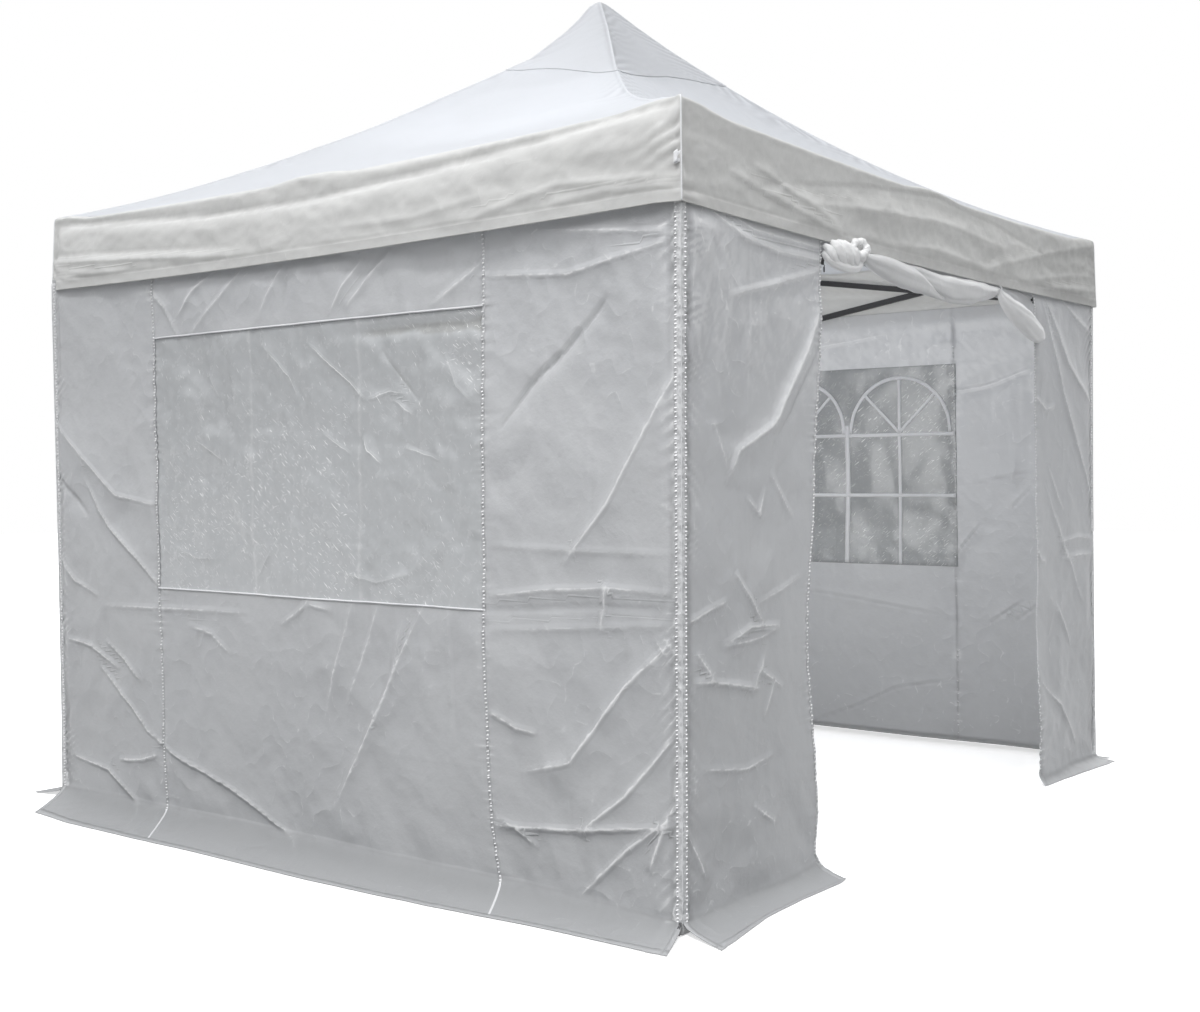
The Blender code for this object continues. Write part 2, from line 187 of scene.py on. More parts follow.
def clothFinish(name, look):
    # thin coated polyester: sharp creases, fine crinkles, a plain weave, and light through it
    cloth = Finish(name)
    place, plan = cloth.objectPlace(), cloth.planPlace()
    wide = cloth.noise(place, 1.9, 1.0)
    crinkle = cloth.noise(place, look["crinkleScale"], 3.0, 0.6)
    where = cloth.limits(wide, 0.36, 0.62, 0.2, 1.0)
    ridge = abs(cloth.noise(place, look["crinkleScale"] * 0.27, 1.0) - 0.5)
    rise = crinkle * (0.0035 * look["crinkleDepth"]) - where * ridge * (0.026 * look["crinkleDepth"])
    weave, weft = (cloth.add("ShaderNodeTexWave", {"wave_type": "BANDS", "bands_direction": way},
                             {"Vector": plan, "Scale": look["threads"]}) for way in "XY")
    rise = rise + weave * weft * (0.0002 * look["weaveDepth"])
    # sharp creases: the mesh carries the distance from the nearest one, and how strong it is there
    strength = cloth.mark("creaseGain")
    off = abs(cloth.mark("crease") + (crinkle - 0.5) * 0.009)
    normal = cloth.bump(rise + strength * cloth.limits(off, 0.017, 0.0) * (0.0034 * look["creasePush"]))
    # the crease line: painted highlight along a crease's crest and painted shade along its valley
    line = cloth.limits(off, 0.0042, 0.0006) * strength * cloth.limits(crinkle, 0.36, 0.58, 0.35, 1.0)
    patches = crinkle if look["mottled"] else wide
    colour = cloth.mixed(cloth.limits(patches, 0.38, 0.62), (*look["colour"], 1), (*look["shade"], 1))
    # crests get a painted highlight and valleys painted shade, and the cloth gets painted shade darker
    # towards the ground
    # the painted shading each point carries: positive for painted light, negative for painted shade
    tone = cloth.mark("tone")
    height = cloth.add("ShaderNodeSeparateXYZ", {}, {0: place}, out="Z")
    # painted shade: the colour darkens from this height down to the ground
    paintedFootShadeMix = cloth.limits(height, look["paintedFootShadeFrom"], 0.0, 0.0, look["paintedFootShade"])
    colour = cloth.mixed(paintedFootShadeMix, colour, (*look["grey"], 1))
    # painted highlight where the shading mark is positive, along crease crests, and on the crests of the
    # crinkles
    pale = cloth.limits(tone, 0.0, 1.0) * 0.6 + cloth.limits(line, 0.0, 1.0)
    pale = pale + cloth.limits(ridge, 0.016, 0.0) * where * cloth.limits(crinkle, 0.48, 0.62) * 0.6
    colour = cloth.mixed(cloth.limits(pale, 0.0, 1.2, 0.0, look["paintedHighlight"]), colour, (1.0, 1.0, 1.0, 1))
    # painted shade along crease valleys and where the shading mark is negative
    dark = cloth.limits(line, 0.0, -1.0) * 0.8 - tone
    depth = cloth.add("ShaderNodeMapRange", {}, {0: dark, 1: 0.0, 2: 3.0, 3: 0.0, 4: look["paintedValleyShade"] * 3})
    colour = cloth.mixed(depth, colour, (*look["grey"], 1))
    solid = cloth.principled({"Base Color": colour, "Roughness": crinkle * 0.16 + look["rough"],
                              "Normal": normal, "Specular IOR Level": look["gloss"]})
    through = cloth.add("ShaderNodeBsdfTranslucent", {}, {"Color": (*look["colour"], 1), "Normal": normal})
    return cloth.done(cloth.add("ShaderNodeMixShader", {}, {0: look["through"], 1: solid, 2: through}))


def filmFinish(name, look):
    # clear film, milky with wear: glossy, crossed by fine hard creases, and with painted glints in drifts
    film = Finish(name)
    place, plan = film.objectPlace(), film.planPlace()
    grain = film.noise(place, 26.0, 2.0, 0.6)
    # painted glints: short white dashes slanting one way or another, in drifts
    wide = film.noise(place, 2.4, 2.0, 0.62)
    drifts = film.limits(wide, 0.42, 0.62, 0.2, 1.0)
    paintedGlints = film.dashes(plan, -0.66, 0.042, 0.0046, 0.64)
    paintedGlints = paintedGlints + film.dashes(plan, 0.22, 0.034, 0.0044, 0.68) * 0.9
    paintedGlints = paintedGlints * drifts + film.dashes(plan, -1.05, 0.038, 0.0046, 0.70)
    strength, crease = film.mark("creaseGain"), film.mark("crease")
    off = abs(crease + (grain - 0.5) * 0.010)
    rise = grain * 0.0007
    normal = film.bump(rise + strength * film.limits(off, 0.012, 0.0) * 0.003)
    # the crease line: painted highlight along a crease's crest and painted shade along its valley
    line = film.limits(off, 0.0036, 0.0006) * strength
    tone = film.mark("tone")
    colour = film.mixed(drifts * 0.4, (*look["colour"], 1), (*look["pale"], 1))
    # painted shade where the shading mark is negative, in the slack under the head
    colour = film.mixed(film.limits(tone, 0.0, -1.0, 0.0, 0.55), colour, (*look["dark"], 1))
    # painted lighter where the shading mark is positive, over the glazing bars
    colour = film.mixed(film.limits(tone, 0.0, 1.0, 0.0, 0.45), colour, (*look["paintedLightWhite"], 1))
    # painted glints and painted highlights along crease crests, which also make the film less clear there
    white = paintedGlints * 0.62 + film.limits(line, 0.0, 1.0) * 0.9
    colour = film.mixed(film.limits(white, 0.0, 1.0), colour, (*look["paintedLightWhite"], 1))
    # painted shade along crease valleys
    colour = film.mixed(film.limits(line, 0.0, -1.0, 0.0, 0.5), colour, (*look["dark"], 1))
    solid = film.principled({"Base Color": colour, "Roughness": grain * 0.12 + look["rough"],
                             "Normal": normal, "Specular IOR Level": look["gloss"]})
    clear = film.add("ShaderNodeBsdfTransparent", {}, {"Color": (*look["tint"], 1)})
    body = film.limits(grain, 0.3, 0.7, look["body"] - 0.03, look["body"] + 0.03)
    body = body + film.limits(white, 0.0, 1.0) * 0.12
    return film.done(film.add("ShaderNodeMixShader", {}, {0: body, 1: clear, 2: solid}))


def hardFinish(name, look):
    # painted or moulded: a fine grain in the surface, and a little wear in the gloss
    hard = Finish(name)
    place = hard.objectPlace()
    grain = hard.noise(place, look["grainScale"], 3.0)
    worn = hard.noise(place, look["wearScale"], 4.0, 0.65)
    colour = hard.mixed(hard.limits(worn, 0.45, 0.75), (*look["colour"], 1), (*look["worn"], 1))
    return hard.done(hard.principled({
        "Base Color": colour, "Roughness": worn * 0.2 + look["rough"], "Metallic": look["metal"],
        "Normal": hard.bump(grain * (look["grain"] * 0.0008)), "Specular IOR Level": look["gloss"]}))


roofCloth = {
    "colour": (0.735, 0.748, 0.772), "shade": (0.72, 0.732, 0.755), "rough": 0.50, "gloss": 0.35,
    "through": 0.52, "grey": (0.30, 0.305, 0.315), "paintedFootShadeFrom": 0.1, "paintedFootShade": 0.0, "paintedHighlight": 0.35,
    "paintedValleyShade": 0.27, "mottled": False, "creasePush": 0.6, "crinkleScale": 24.0, "crinkleDepth": 0.10,
    "threads": 260.0, "weaveDepth": 0.10}
wallCloth = {
    "colour": (0.635, 0.641, 0.652), "shade": (0.61, 0.617, 0.63), "rough": 0.34, "gloss": 0.5,
    "through": 0.36, "grey": (0.28, 0.285, 0.29), "paintedFootShadeFrom": 1.5, "paintedFootShade": 0.42, "paintedHighlight": 0.75,
    "paintedValleyShade": 0.28, "mottled": False, "creasePush": 1.0, "crinkleScale": 34.0, "crinkleDepth": 0.5,
    "threads": 300.0, "weaveDepth": 0.12}
windowFilm = {
    "colour": (0.475, 0.486, 0.498), "pale": (0.52, 0.53, 0.543), "dark": (0.28, 0.28, 0.265),
    "paintedLightWhite": (1.0, 1.0, 1.0), "tint": (0.93, 0.95, 0.95), "body": 0.83, "rough": 0.2, "gloss": 0.5}
finishes = {
    "roofCloth": clothFinish("white_roof_cloth", roofCloth),
    # the roof cloth painted lighter for the peak cap, against the shade its doubled cloth takes
    "capCloth": clothFinish("white_cap_cloth", {**roofCloth, "colour": (0.785, 0.795, 0.815),
                                                "shade": (0.775, 0.785, 0.805)}),
    "valanceCloth": clothFinish("white_valance_cloth", {
        "colour": (0.725, 0.725, 0.716), "shade": (0.705, 0.705, 0.696), "rough": 0.52, "gloss": 0.35,
        "through": 0.34, "grey": (0.30, 0.30, 0.29), "paintedFootShadeFrom": 0.1, "paintedFootShade": 0.0, "paintedHighlight": 0.5,
        "paintedValleyShade": 0.25, "mottled": False, "creasePush": 0.8, "crinkleScale": 30.0, "crinkleDepth": 0.22,
        "threads": 260.0, "weaveDepth": 0.10}),
    "wallCloth": clothFinish("white_wall_cloth", wallCloth),
    "rollCloth": clothFinish("white_rolled_cloth", {
        **wallCloth, "colour": (0.76, 0.762, 0.765), "shade": (0.72, 0.722, 0.727), "paintedFootShade": 0.0,
        "paintedHighlight": 0.95}),
    "tape": clothFinish("white_binding_tape", {
        "colour": (0.84, 0.845, 0.86), "shade": (0.76, 0.765, 0.785), "rough": 0.50, "gloss": 0.35,
        "through": 0.25, "grey": (0.40, 0.40, 0.41), "paintedFootShadeFrom": 1.5, "paintedFootShade": 0.15, "paintedHighlight": 0.5,
        "paintedValleyShade": 0.2, "mottled": False, "creasePush": 0.0, "crinkleScale": 90.0, "crinkleDepth": 0.25,
        "threads": 500.0, "weaveDepth": 0.3}),
    "zipTape": clothFinish("grey_zip_tape", {
        "colour": (0.72, 0.725, 0.735), "shade": (0.52, 0.525, 0.535), "rough": 0.42, "gloss": 0.4,
        "through": 0.15, "grey": (0.3, 0.3, 0.31), "paintedFootShadeFrom": 1.5, "paintedFootShade": 0.15, "paintedHighlight": 0.8,
        "paintedValleyShade": 0.2, "mottled": True, "creasePush": 0.0, "crinkleScale": 70.0, "crinkleDepth": 0.8,
        "threads": 500.0, "weaveDepth": 0.3}),
    "film": filmFinish("clear_window_film", windowFilm),
    "shadedFilm": filmFinish("clear_shaded_film", {**windowFilm, "colour": (0.312, 0.321, 0.328),
                                                   "pale": (0.332, 0.340, 0.346)}),
    "thread": hardFinish("white_sewing_thread", {
        "colour": (0.92, 0.92, 0.93), "worn": (0.66, 0.66, 0.68), "rough": 0.5, "metal": 0.0, "gloss": 0.3,
        "grainScale": 900.0, "grain": 0.3, "wearScale": 16.0}),
    "coil": hardFinish("white_zip_coil", {
        "colour": (0.62, 0.63, 0.64), "worn": (0.46, 0.47, 0.48), "rough": 0.4, "metal": 0.0, "gloss": 0.5,
        "grainScale": 380.0, "grain": 0.9, "wearScale": 40.0}),
    "steel": hardFinish("black_powder_coat", {
        "colour": (0.012, 0.012, 0.014), "worn": (0.022, 0.022, 0.024), "rough": 0.38, "metal": 0.0,
        "gloss": 0.5, "grainScale": 700.0, "grain": 0.25, "wearScale": 14.0}),
    "nylon": hardFinish("black_moulded_nylon", {
        "colour": (0.016, 0.016, 0.017), "worn": (0.03, 0.03, 0.031), "rough": 0.5, "metal": 0.0,
        "gloss": 0.4, "grainScale": 450.0, "grain": 0.2, "wearScale": 22.0}),
    "zipMetal": hardFinish("dark_slider_metal", {
        "colour": (0.10, 0.10, 0.105), "worn": (0.22, 0.22, 0.22), "rough": 0.3, "metal": 0.85, "gloss": 0.5,
        "grainScale": 500.0, "grain": 0.1, "wearScale": 60.0}),
}
print("finishes ready")


def makeFloor():
    ground = Finish("pale_floor")
    speck = ground.noise(ground.objectPlace(), 2.0, 2.0)
    paler = (part + 0.01 for part in floorLook["colour"])
    colour = ground.mixed(speck, (*floorLook["colour"], 1), (*paler, 1))
    half = floorLook["size"] / 2
    mesh = bpy.data.meshes.new("floor")
    mesh.from_pydata([(-half, -half, 0), (half, -half, 0), (half, half, 0), (-half, half, 0)], [],
                     [(0, 1, 2, 3)])
    mesh.materials.append(ground.done(ground.principled({
        "Base Color": colour, "Roughness": 0.9, "Emission Color": colour,
        "Emission Strength": floorLook["glow"]})))
    floor = bpy.data.objects.new("floor", mesh)
    floor.visible_diffuse = False  # the light from below comes from the lower half of the sky
    bpy.context.scene.collection.objects.link(floor)


def makeLight():
    # a soft sky, brighter overhead, and a wide pale sun; the view past the tent is plain white
    world = bpy.data.worlds.new("studio")
    bpy.context.scene.world = world
    world.use_nodes = True
    tree = world.node_tree
    tree.nodes.clear()
    kinds = ("TexCoord", "SeparateXYZ", "MapRange", "ValToRGB", "Background", "Background", "LightPath",
             "MixShader", "OutputWorld")
    place, split, ramp, shade, sky, plain, seen, mix, end = (tree.nodes.new("ShaderNode" + kind)
                                                             for kind in kinds)
    tree.links.new(place.outputs["Generated"], split.inputs[0])
    tree.links.new(split.outputs["Z"], ramp.inputs["Value"])
    ramp.inputs["From Min"].default_value, ramp.inputs["From Max"].default_value = -1.0, 1.0
    tree.links.new(ramp.outputs[0], shade.inputs[0])
    stops = shade.color_ramp.elements
    for number, (height, bright) in enumerate(light["sky"]):
        stop = stops[number] if number < 2 else stops.new(height)
        stop.position, stop.color = height, (*(bright * part for part in light["skyTint"]), 1)
    tree.links.new(shade.outputs[0], sky.inputs["Color"])
    sky.inputs["Strength"].default_value = light["skyStrength"]
    plain.inputs["Color"].default_value = (1, 1, 1, 1)
    plain.inputs["Strength"].default_value = 1.0
    tree.links.new(seen.outputs["Is Camera Ray"], mix.inputs[0])
    tree.links.new(sky.outputs[0], mix.inputs[1])
    tree.links.new(plain.outputs[0], mix.inputs[2])
    tree.links.new(mix.outputs[0], end.inputs["Surface"])
    data = bpy.data.lights.new("sun", "SUN")
    data.energy, data.angle = light["sun"], math.radians(light["sunAngle"])
    aimLamp(data, np.zeros(3), -np.array(light["sunFrom"]))
    for name, (place, target, side, power) in light["boxes"].items():
        data = bpy.data.lights.new(name + "_box", "AREA")
        data.shape, data.size, data.energy = "SQUARE", side, power
        aimLamp(data, np.array(place), np.array(target) - place)


def aimLamp(data, place, ahead):
    # a lamp shines along its own -Z; it doesn't show to the camera
    back = -ahead / np.linalg.norm(ahead)
    across = np.cross((0, 1, 0), back)
    across = across / np.linalg.norm(across)
    turn = np.eye(4)
    turn[:3, :4] = np.column_stack((across, np.cross(back, across), back, place))
    lamp = bpy.data.objects.new(data.name, data)
    lamp.matrix_world = Matrix(turn.tolist())
    lamp.visible_camera = False
    bpy.context.scene.collection.objects.link(lamp)


makeFloor()
makeLight()
print("camera, floor and light ready")


# cloth from numpy grids
def clothLines(marks, step, close=0.003):
    # grid lines through every mark, even between them, with one more close beside each mark
    runs = zip(marks, marks[1:])
    even = [np.linspace(start, end, max(3, round((end - start) / step)) + 1) for start, end in runs]
    beside = [[mark - close, mark + close] for mark in marks]
    every = np.unique(np.round(np.concatenate(even + beside), 5))
    every = every[(every >= marks[0]) & (every <= marks[-1])]
    keep = np.concatenate(([True], np.diff(every) > 0.0012))
    return every[keep]


def softWaves(u, v, seed):
    # smooth noise: random values at whole numbers, mixed by 3t² - 2t³ both ways
    table = np.random.default_rng(seed).uniform(-1, 1, (61, 67))
    i, j = np.floor(u).astype(int), np.floor(v).astype(int)
    s, t = u - i, v - j
    s, t = s * s * (3 - 2 * s), t * t * (3 - 2 * t)
    low = table[i % 61, j % 67] * (1 - s) + table[(i + 1) % 61, j % 67] * s
    high = table[i % 61, (j + 1) % 67] * (1 - s) + table[(i + 1) % 61, (j + 1) % 67] * s
    return low * (1 - t) + high * t


def cellEdges(u, v, seed):
    # how far a place lies from the nearest edge between random cells, one cell to each unit square
    table = np.random.default_rng(seed).uniform(0.05, 0.95, (61, 67, 2))
    i, j = np.floor(u).astype(int), np.floor(v).astype(int)
    steps = [(di, dj) for di in range(-2, 3) for dj in range(-2, 3)]
    towards = np.stack([table[(i + di) % 61, (j + dj) % 67] + np.stack((i + di - u, j + dj - v), axis=-1)
                        for di, dj in steps])
    nearest = np.argmin((towards ** 2).sum(axis=-1), axis=0)
    own = np.take_along_axis(towards, nearest[None, ..., None], axis=0)
    apart = np.sqrt(((towards - own) ** 2).sum(axis=-1))
    off = (((towards + own) / 2) * (towards - own)).sum(axis=-1) / np.maximum(apart, 1e-6)
    return np.where(apart < 1e-6, 9.0, off).min(axis=0)


def creasedWaves(u, v, seed):
    # creased cloth: flat triangles between random heights, on a lattice bent by smooth noise
    u, v = u + 0.45 * softWaves(u * 0.9, v * 0.9, seed + 1), v + 0.45 * softWaves(u * 0.9, v * 0.9, seed + 2)
    table = np.random.default_rng(seed).uniform(-1, 1, (61, 67))
    i, j = np.floor(u).astype(int), np.floor(v).astype(int)
    s, t = u - i, v - j
    corner = [table[(i + di) % 61, (j + dj) % 67] for di, dj in ((0, 0), (1, 0), (0, 1), (1, 1))]
    lower = corner[0] + s * (corner[1] - corner[0]) + t * (corner[2] - corner[0])
    upper = corner[3] + (1 - s) * (corner[2] - corner[3]) + (1 - t) * (corner[1] - corner[3])
    return np.where(s + t < 1, lower, upper)


def smoothStep(value, low, high):
    t = np.clip((value - low) / (high - low), 0, 1)
    return t * t * (3 - 2 * t)


def foldReach(across, height, points):
    # distance to a line of points, on which hand of it, and how far along it, from 0 to 1
    shape = np.broadcast(across, height).shape
    runs = [math.dist(a, b) for a, b in zip(points, points[1:])]
    nearest, along, hand, gone = np.full(shape, 9.0), np.zeros(shape), np.ones(shape), 0.0
    for (x0, z0), (x1, z1), run in zip(points, points[1:], runs):
        dx, dz = (x1 - x0) / run, (z1 - z0) / run
        t = np.clip((across - x0) * dx + (height - z0) * dz, 0, run)
        off = np.hypot(across - x0 - t * dx, height - z0 - t * dz)
        near = off < nearest
        nearest = np.where(near, off, nearest)
        along = np.where(near, (gone + t) / sum(runs), along)
        hand = np.where(near, np.sign(dx * (height - z0) - dz * (across - x0)), hand)
        gone += run
    return nearest, hand, np.clip(along, 0, 1)


def foldRelief(across, height, folds):
    # each fold is rise and width in mm, lean and points; it falls off as exp(-(distance / width) ** 1.35)
    relief = np.zeros(np.broadcast(across, height).shape)
    for rise, width, lean, *points in folds:
        nearest, hand, along = foldReach(across, height, points)
        spread = max(width, 12) * 0.001 * (1 + lean * hand)
        falls = np.exp(-(np.hypot(nearest, 0.005) / spread) ** 1.35)
        relief += rise * 0.001 * np.sin(np.pi * along) ** 0.55 * falls
    return relief


def foldLines(across, height, folds):
    # the distance from the nearest fold's line, signed by its hand, and its strength, positive on a crest
    shape = np.broadcast(across, height).shape
    best, distance, strength = np.full(shape, 9.0), np.full(shape, 0.04), np.zeros(shape)
    for rise, _, _, *points in folds:
        nearest, hand, along = foldReach(across, height, points)
        fade = np.sin(np.pi * along) ** 0.4 * (1 - smoothStep(nearest, 0.016, 0.034))
        near = nearest < best
        best = np.where(near, nearest, best)
        distance = np.where(near, np.clip(hand * nearest, -0.04, 0.04), distance)
        strength = np.where(near, np.sign(rise) * min(abs(rise) / 8, 1.0) * fade, strength)
    return distance, strength


def clothMarks(relief, folds, across, height, reach, full):
    # what the finish reads at each point: the painted shading, lighter on a crest and darker in a valley, and
    # the sharp creases
    distance, strength = foldLines(across, height, folds)
    tone = paintedCreaseShading(relief, across, height, reach, full)
    return {"tone": tone, "crease": distance, "creaseGain": strength}


def onSide(side, across, out, height):
    # a place on one side of the tent: the front's, turned a quarter at a time
    x, y = across + 0 * height, -out + 0 * height
    for _ in range(sideTurns[side]):
        x, y = -y, x
    return np.stack((x, y, height + 0 * x), axis=-1)


def putMesh(name, places, faces, plan, finish, thick=0.0, marks=None):
    mesh = bpy.data.meshes.new(name)
    mesh.from_pydata(places.reshape(-1, 3).tolist(), [], faces)
    mesh.polygons.foreach_set("use_smooth", [True] * len(faces))
    corners = np.fromiter(chain.from_iterable(faces), dtype=int)
    mesh.uv_layers.new(name="plan").data.foreach_set("uv", plan.reshape(-1, 2)[corners].ravel())
    for key, values in (marks or {}).items():
        attribute = mesh.attributes.new(key, "FLOAT", "POINT")
        attribute.data.foreach_set("value", values.ravel().astype(np.float32))
    mesh.materials.append(finishes[finish])
    piece = bpy.data.objects.new(name, mesh)
    bpy.context.scene.collection.objects.link(piece)
    if thick:
        solid = piece.modifiers.new("thickness", "SOLIDIFY")
        solid.thickness, solid.offset = thick, -1
    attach(piece, "root")
    return piece


def cellsOf(number):
    # the four corners of every cell in a grid of numbered points
    return np.stack((number[:-1, :-1], number[:-1, 1:], number[1:, 1:], number[1:, :-1]), axis=-1)


def gridCells(rows, columns, first=0):
    return cellsOf(first + np.arange(rows * columns).reshape(rows, columns))


def sewCloth(name, places, plan, finish, thick=0.0012, cutAway=None, marks=None):
    # every cell of the grid is a face, apart from those cut away
    cells = gridCells(*places.shape[:2])
    cells = cells[~cutAway] if cutAway is not None else cells.reshape(-1, 4)
    used, cells = np.unique(cells, return_inverse=True)
    marks = {key: values.ravel()[used] for key, values in (marks or {}).items()}
    return putMesh(name, places.reshape(-1, 3)[used], cells.reshape(-1, 4).tolist(),
                   plan.reshape(-1, 2)[used], finish, thick, marks)


def turnOutward(piece):
    # makes the faces of a closed piece point out
    bpy.context.view_layer.objects.active = piece
    bpy.ops.object.mode_set(mode="EDIT")
    bpy.ops.mesh.select_all(action="SELECT")
    bpy.ops.mesh.normals_make_consistent(inside=False)
    bpy.ops.object.mode_set(mode="OBJECT")


def paintedCreaseShading(relief, across, height, reach, full):
    # how far the cloth stands above its mean a little way off, for painted shading: crests are positive and
    # painted lighter, valleys negative and painted darker
    steps = ((reach, 0), (-reach, 0), (0, reach), (0, -reach))
    around = sum(relief(across + dx, height + dz) for dx, dz in steps) / 4
    tone = (relief(across, height) - around) / full
    return np.clip(np.sign(tone) * np.abs(tone) ** 0.8, -1, 1)


def tubeParts(path, radius, sides):
    # a ring of points round every point of the path, across its direction
    ahead = np.gradient(path, axis=0)
    ahead /= np.linalg.norm(ahead, axis=1, keepdims=True)
    guide = np.array((0.31, 0.43, 0.85)) if abs(ahead[:, 2]).mean() < 0.8 else np.array((0.71, -0.7, 0.1))
    first = np.cross(ahead, guide)
    first /= np.linalg.norm(first, axis=1, keepdims=True)
    second = np.cross(ahead, first)
    angle = np.linspace(0, 2 * np.pi, sides, endpoint=False)[None, :, None]
    return path[:, None] + radius * (np.cos(angle) * first[:, None] + np.sin(angle) * second[:, None])


def tubeFaces(rings, sides, first=0):
    number = first + np.arange(rings * sides).reshape(rings, sides)
    number = np.concatenate((number, number[:, :1]), axis=1)
    ends = [number[0, :-1][::-1].tolist(), number[-1, :-1].tolist()]
    return cellsOf(number).reshape(-1, 4).tolist() + ends


def joinParts(name, parts, finish, closed=False, thick=0.0, inward=False, marks=None):
    # grids of places with their plans, in one piece; closed ones are tubes with both ends filled
    faces, count = [], 0
    for grid, _ in parts:
        rows, columns = grid.shape[:2]
        if closed:
            faces += tubeFaces(rows, columns, count)
        else:
            cells = gridCells(rows, columns, count).reshape(-1, 4)
            faces += (cells[:, ::-1] if inward else cells).tolist()
        count += rows * columns
    places = np.concatenate([grid.reshape(-1, 3) for grid, _ in parts])
    plans = np.concatenate([plan.reshape(-1, 2) for _, plan in parts])
    return putMesh(name, places, faces, plans, finish, thick, marks)


def makeTubes(name, paths, radius, sides, finish):
    # round cords along each path, closed at both ends, in one piece
    parts = []
    around = np.linspace(0, 1, sides, endpoint=False) * 2 * np.pi * radius
    for path in paths:
        length = np.concatenate(([0], np.cumsum(np.linalg.norm(np.diff(path, axis=0), axis=1))))
        parts.append((tubeParts(path, radius, sides), np.stack(np.meshgrid(around, length), axis=-1)))
    return joinParts(name, parts, finish, closed=True)


# roof
roofLook = {
    "canopyGrid": (68, 76), "thick": 0.0012, "capGrid": (38, 36), "capThick": 0.0024, "capLift": 0.0032,
    "eaveDip": 0.014, "seamRise": 0.0026, "seamWidth": 0.006, "pucker": 0.0054, "puckerReach": 0.055,
    "shadeSides": 1.2, "capHollow": 0.13,
    # how far each hip sags at each reach from the peak, from the front left one round by the right
    "hipSags": (((0, 0.2, 0.3, 0.4, 0.65, 0.8, 1.0, 1.25), (0, 0.012, 0.042, 0.078, 0.078, 0.056, 0.026, 0)),
                ((0, 0.1, 0.2, 0.4, 0.7, 1.0), (0, 0.010, 0.013, 0.008, 0.003, 0)),
                ((0, 0.1, 0.25, 0.6, 1.0, 1.3), (0, 0.02, 0.04, 0.04, 0.02, 0)),
                ((0, 0.03, 0.06, 0.1, 0.2, 0.3, 0.45, 0.66, 0.8, 1.0),
                 (0, 0.006, 0.03, 0.05, 0.072, 0.052, 0.030, 0.017, 0.006, 0))),
    "capCorners": (0.445, 0.37, 0.31, 0.27),
}


def eaveRoll(part):
    # the cloth rolls more softly over the eave where no truss or bracket is right under it
    return smoothStep(np.abs(part), 0.03, 0.16) * smoothStep(1 - np.abs(part), 0.04, 0.16)


def roofHeight(side, across, out):
    # the hip climbs 0.44 evenly and 0.56 as the climb's square, less its sags and a hollow between hips
    reach = np.maximum(np.abs(across), np.abs(out))
    climb = np.clip(1 - np.hypot(reach, 0.018) / tent["half"], 0, 1)
    hip = tent["eave"] + (tent["peak"] - tent["eave"]) * (0.44 * climb + 0.56 * climb ** 2)
    part = across / np.maximum(reach, 1e-6)
    low, high = (np.interp(reach, *roofLook["hipSags"][(sideTurns[side] + step) % 4]) for step in (0, 1))
    hip = hip - low * (1 - part) / 2 - high * (1 + part) / 2
    sag = tent["eaveSag"] * (1 - climb) ** 2 + 4 * tent["goreSag"] * climb * (1 - climb)
    dip = roofLook["eaveDip"] * eaveRoll(part) * np.clip((reach - 1.36) / 0.127, 0, 1) ** 2.2
    return hip - sag * (1 - part ** 2) - dip


def roofRelief(side, across, reach):
    # a raised seam on each hip, short gathers beside it, and slow waves in the panels
    share = across / np.maximum(reach, 1e-6)
    fromHip = reach * (1 - np.abs(share)) * 0.72
    along = reach * 1.25 + np.where(share > 0, 0.37, 0.0) + 1.7 * sideTurns[side]
    seam = roofLook["seamRise"] * np.exp(-(fromHip / roofLook["seamWidth"]) ** 2)
    phase = (along + 0.5 * fromHip) / 0.047 + 1.1 * softWaves(along * 9, fromHip * 14, 5)
    gathers = roofLook["pucker"] * np.sin(2 * np.pi * phase) * np.exp(-fromHip / roofLook["puckerReach"])
    gathers = gathers * smoothStep(fromHip, 0.0, 0.012) * (0.45 + 0.55 * softWaves(along * 3, 0 * along, 6))
    slow = 0.004 * softWaves(share * 3 + 5 * sideTurns[side], reach * 2.2, 7)
    small = 0.0022 * creasedWaves(across * 7 + 9 * sideTurns[side], reach * 5, 8)
    inner = smoothStep(fromHip, 0.0, 0.12) * smoothStep(reach, 0.03, 0.25)
    inner = inner * smoothStep(tent["half"] - reach, 0, 0.1)
    return seam + gathers * smoothStep(reach, 0.02, 0.1) + (slow + small) * inner


def roofGrid(corners, grid, lift, hollow):
    # rings from the peak out to the reach given at each corner; on each side the lines crowd toward the hips
    columns, rows = grid
    bend = np.sin(np.pi / 2 * np.linspace(-1, 1, columns + 1)[:-1])
    edge = np.array((-1, -0.996, -0.988)), np.array((0.988, 0.996))
    share = np.unique(np.concatenate((edge[0], bend[np.abs(bend) < 0.98], edge[1])))
    reach = np.concatenate((np.linspace(0.004, 0.95, rows) ** 0.9, np.linspace(0.96, 1, 6)))
    rings, plans, tones = [], [], []
    for side in sideTurns:
        part, ring = np.meshgrid(share, reach)
        low, high = (corners[(sideTurns[side] + step) % 4] for step in (0, 1))
        ring = ring * (low * (1 - part) + high * (1 + part)) / 2 * (1 - hollow * (1 - part ** 2))
        across = part * ring
        height = roofHeight(side, across, ring) + lift + roofRelief(side, across, ring)
        rings.append(onSide(side, across, ring, height))
        plans.append(np.stack((across, ring * 1.18 + 0 * across), axis=-1) + 3.2 * sideTurns[side])
        # painted highlight on the roof's crests and painted shade in its hollows
        tone = paintedCreaseShading(lambda a, r: roofRelief(side, a, r), across, ring, 0.008, 0.0011)
        # painted shade over the front and right gores
        shade = roofLook["shadeSides"] * (side in ("front", "right"))
        tones.append(tone - shade * smoothStep(1 - np.abs(part), 0.0, 0.02))
    return (np.concatenate(parts, axis=1) for parts in (rings, plans, tones))


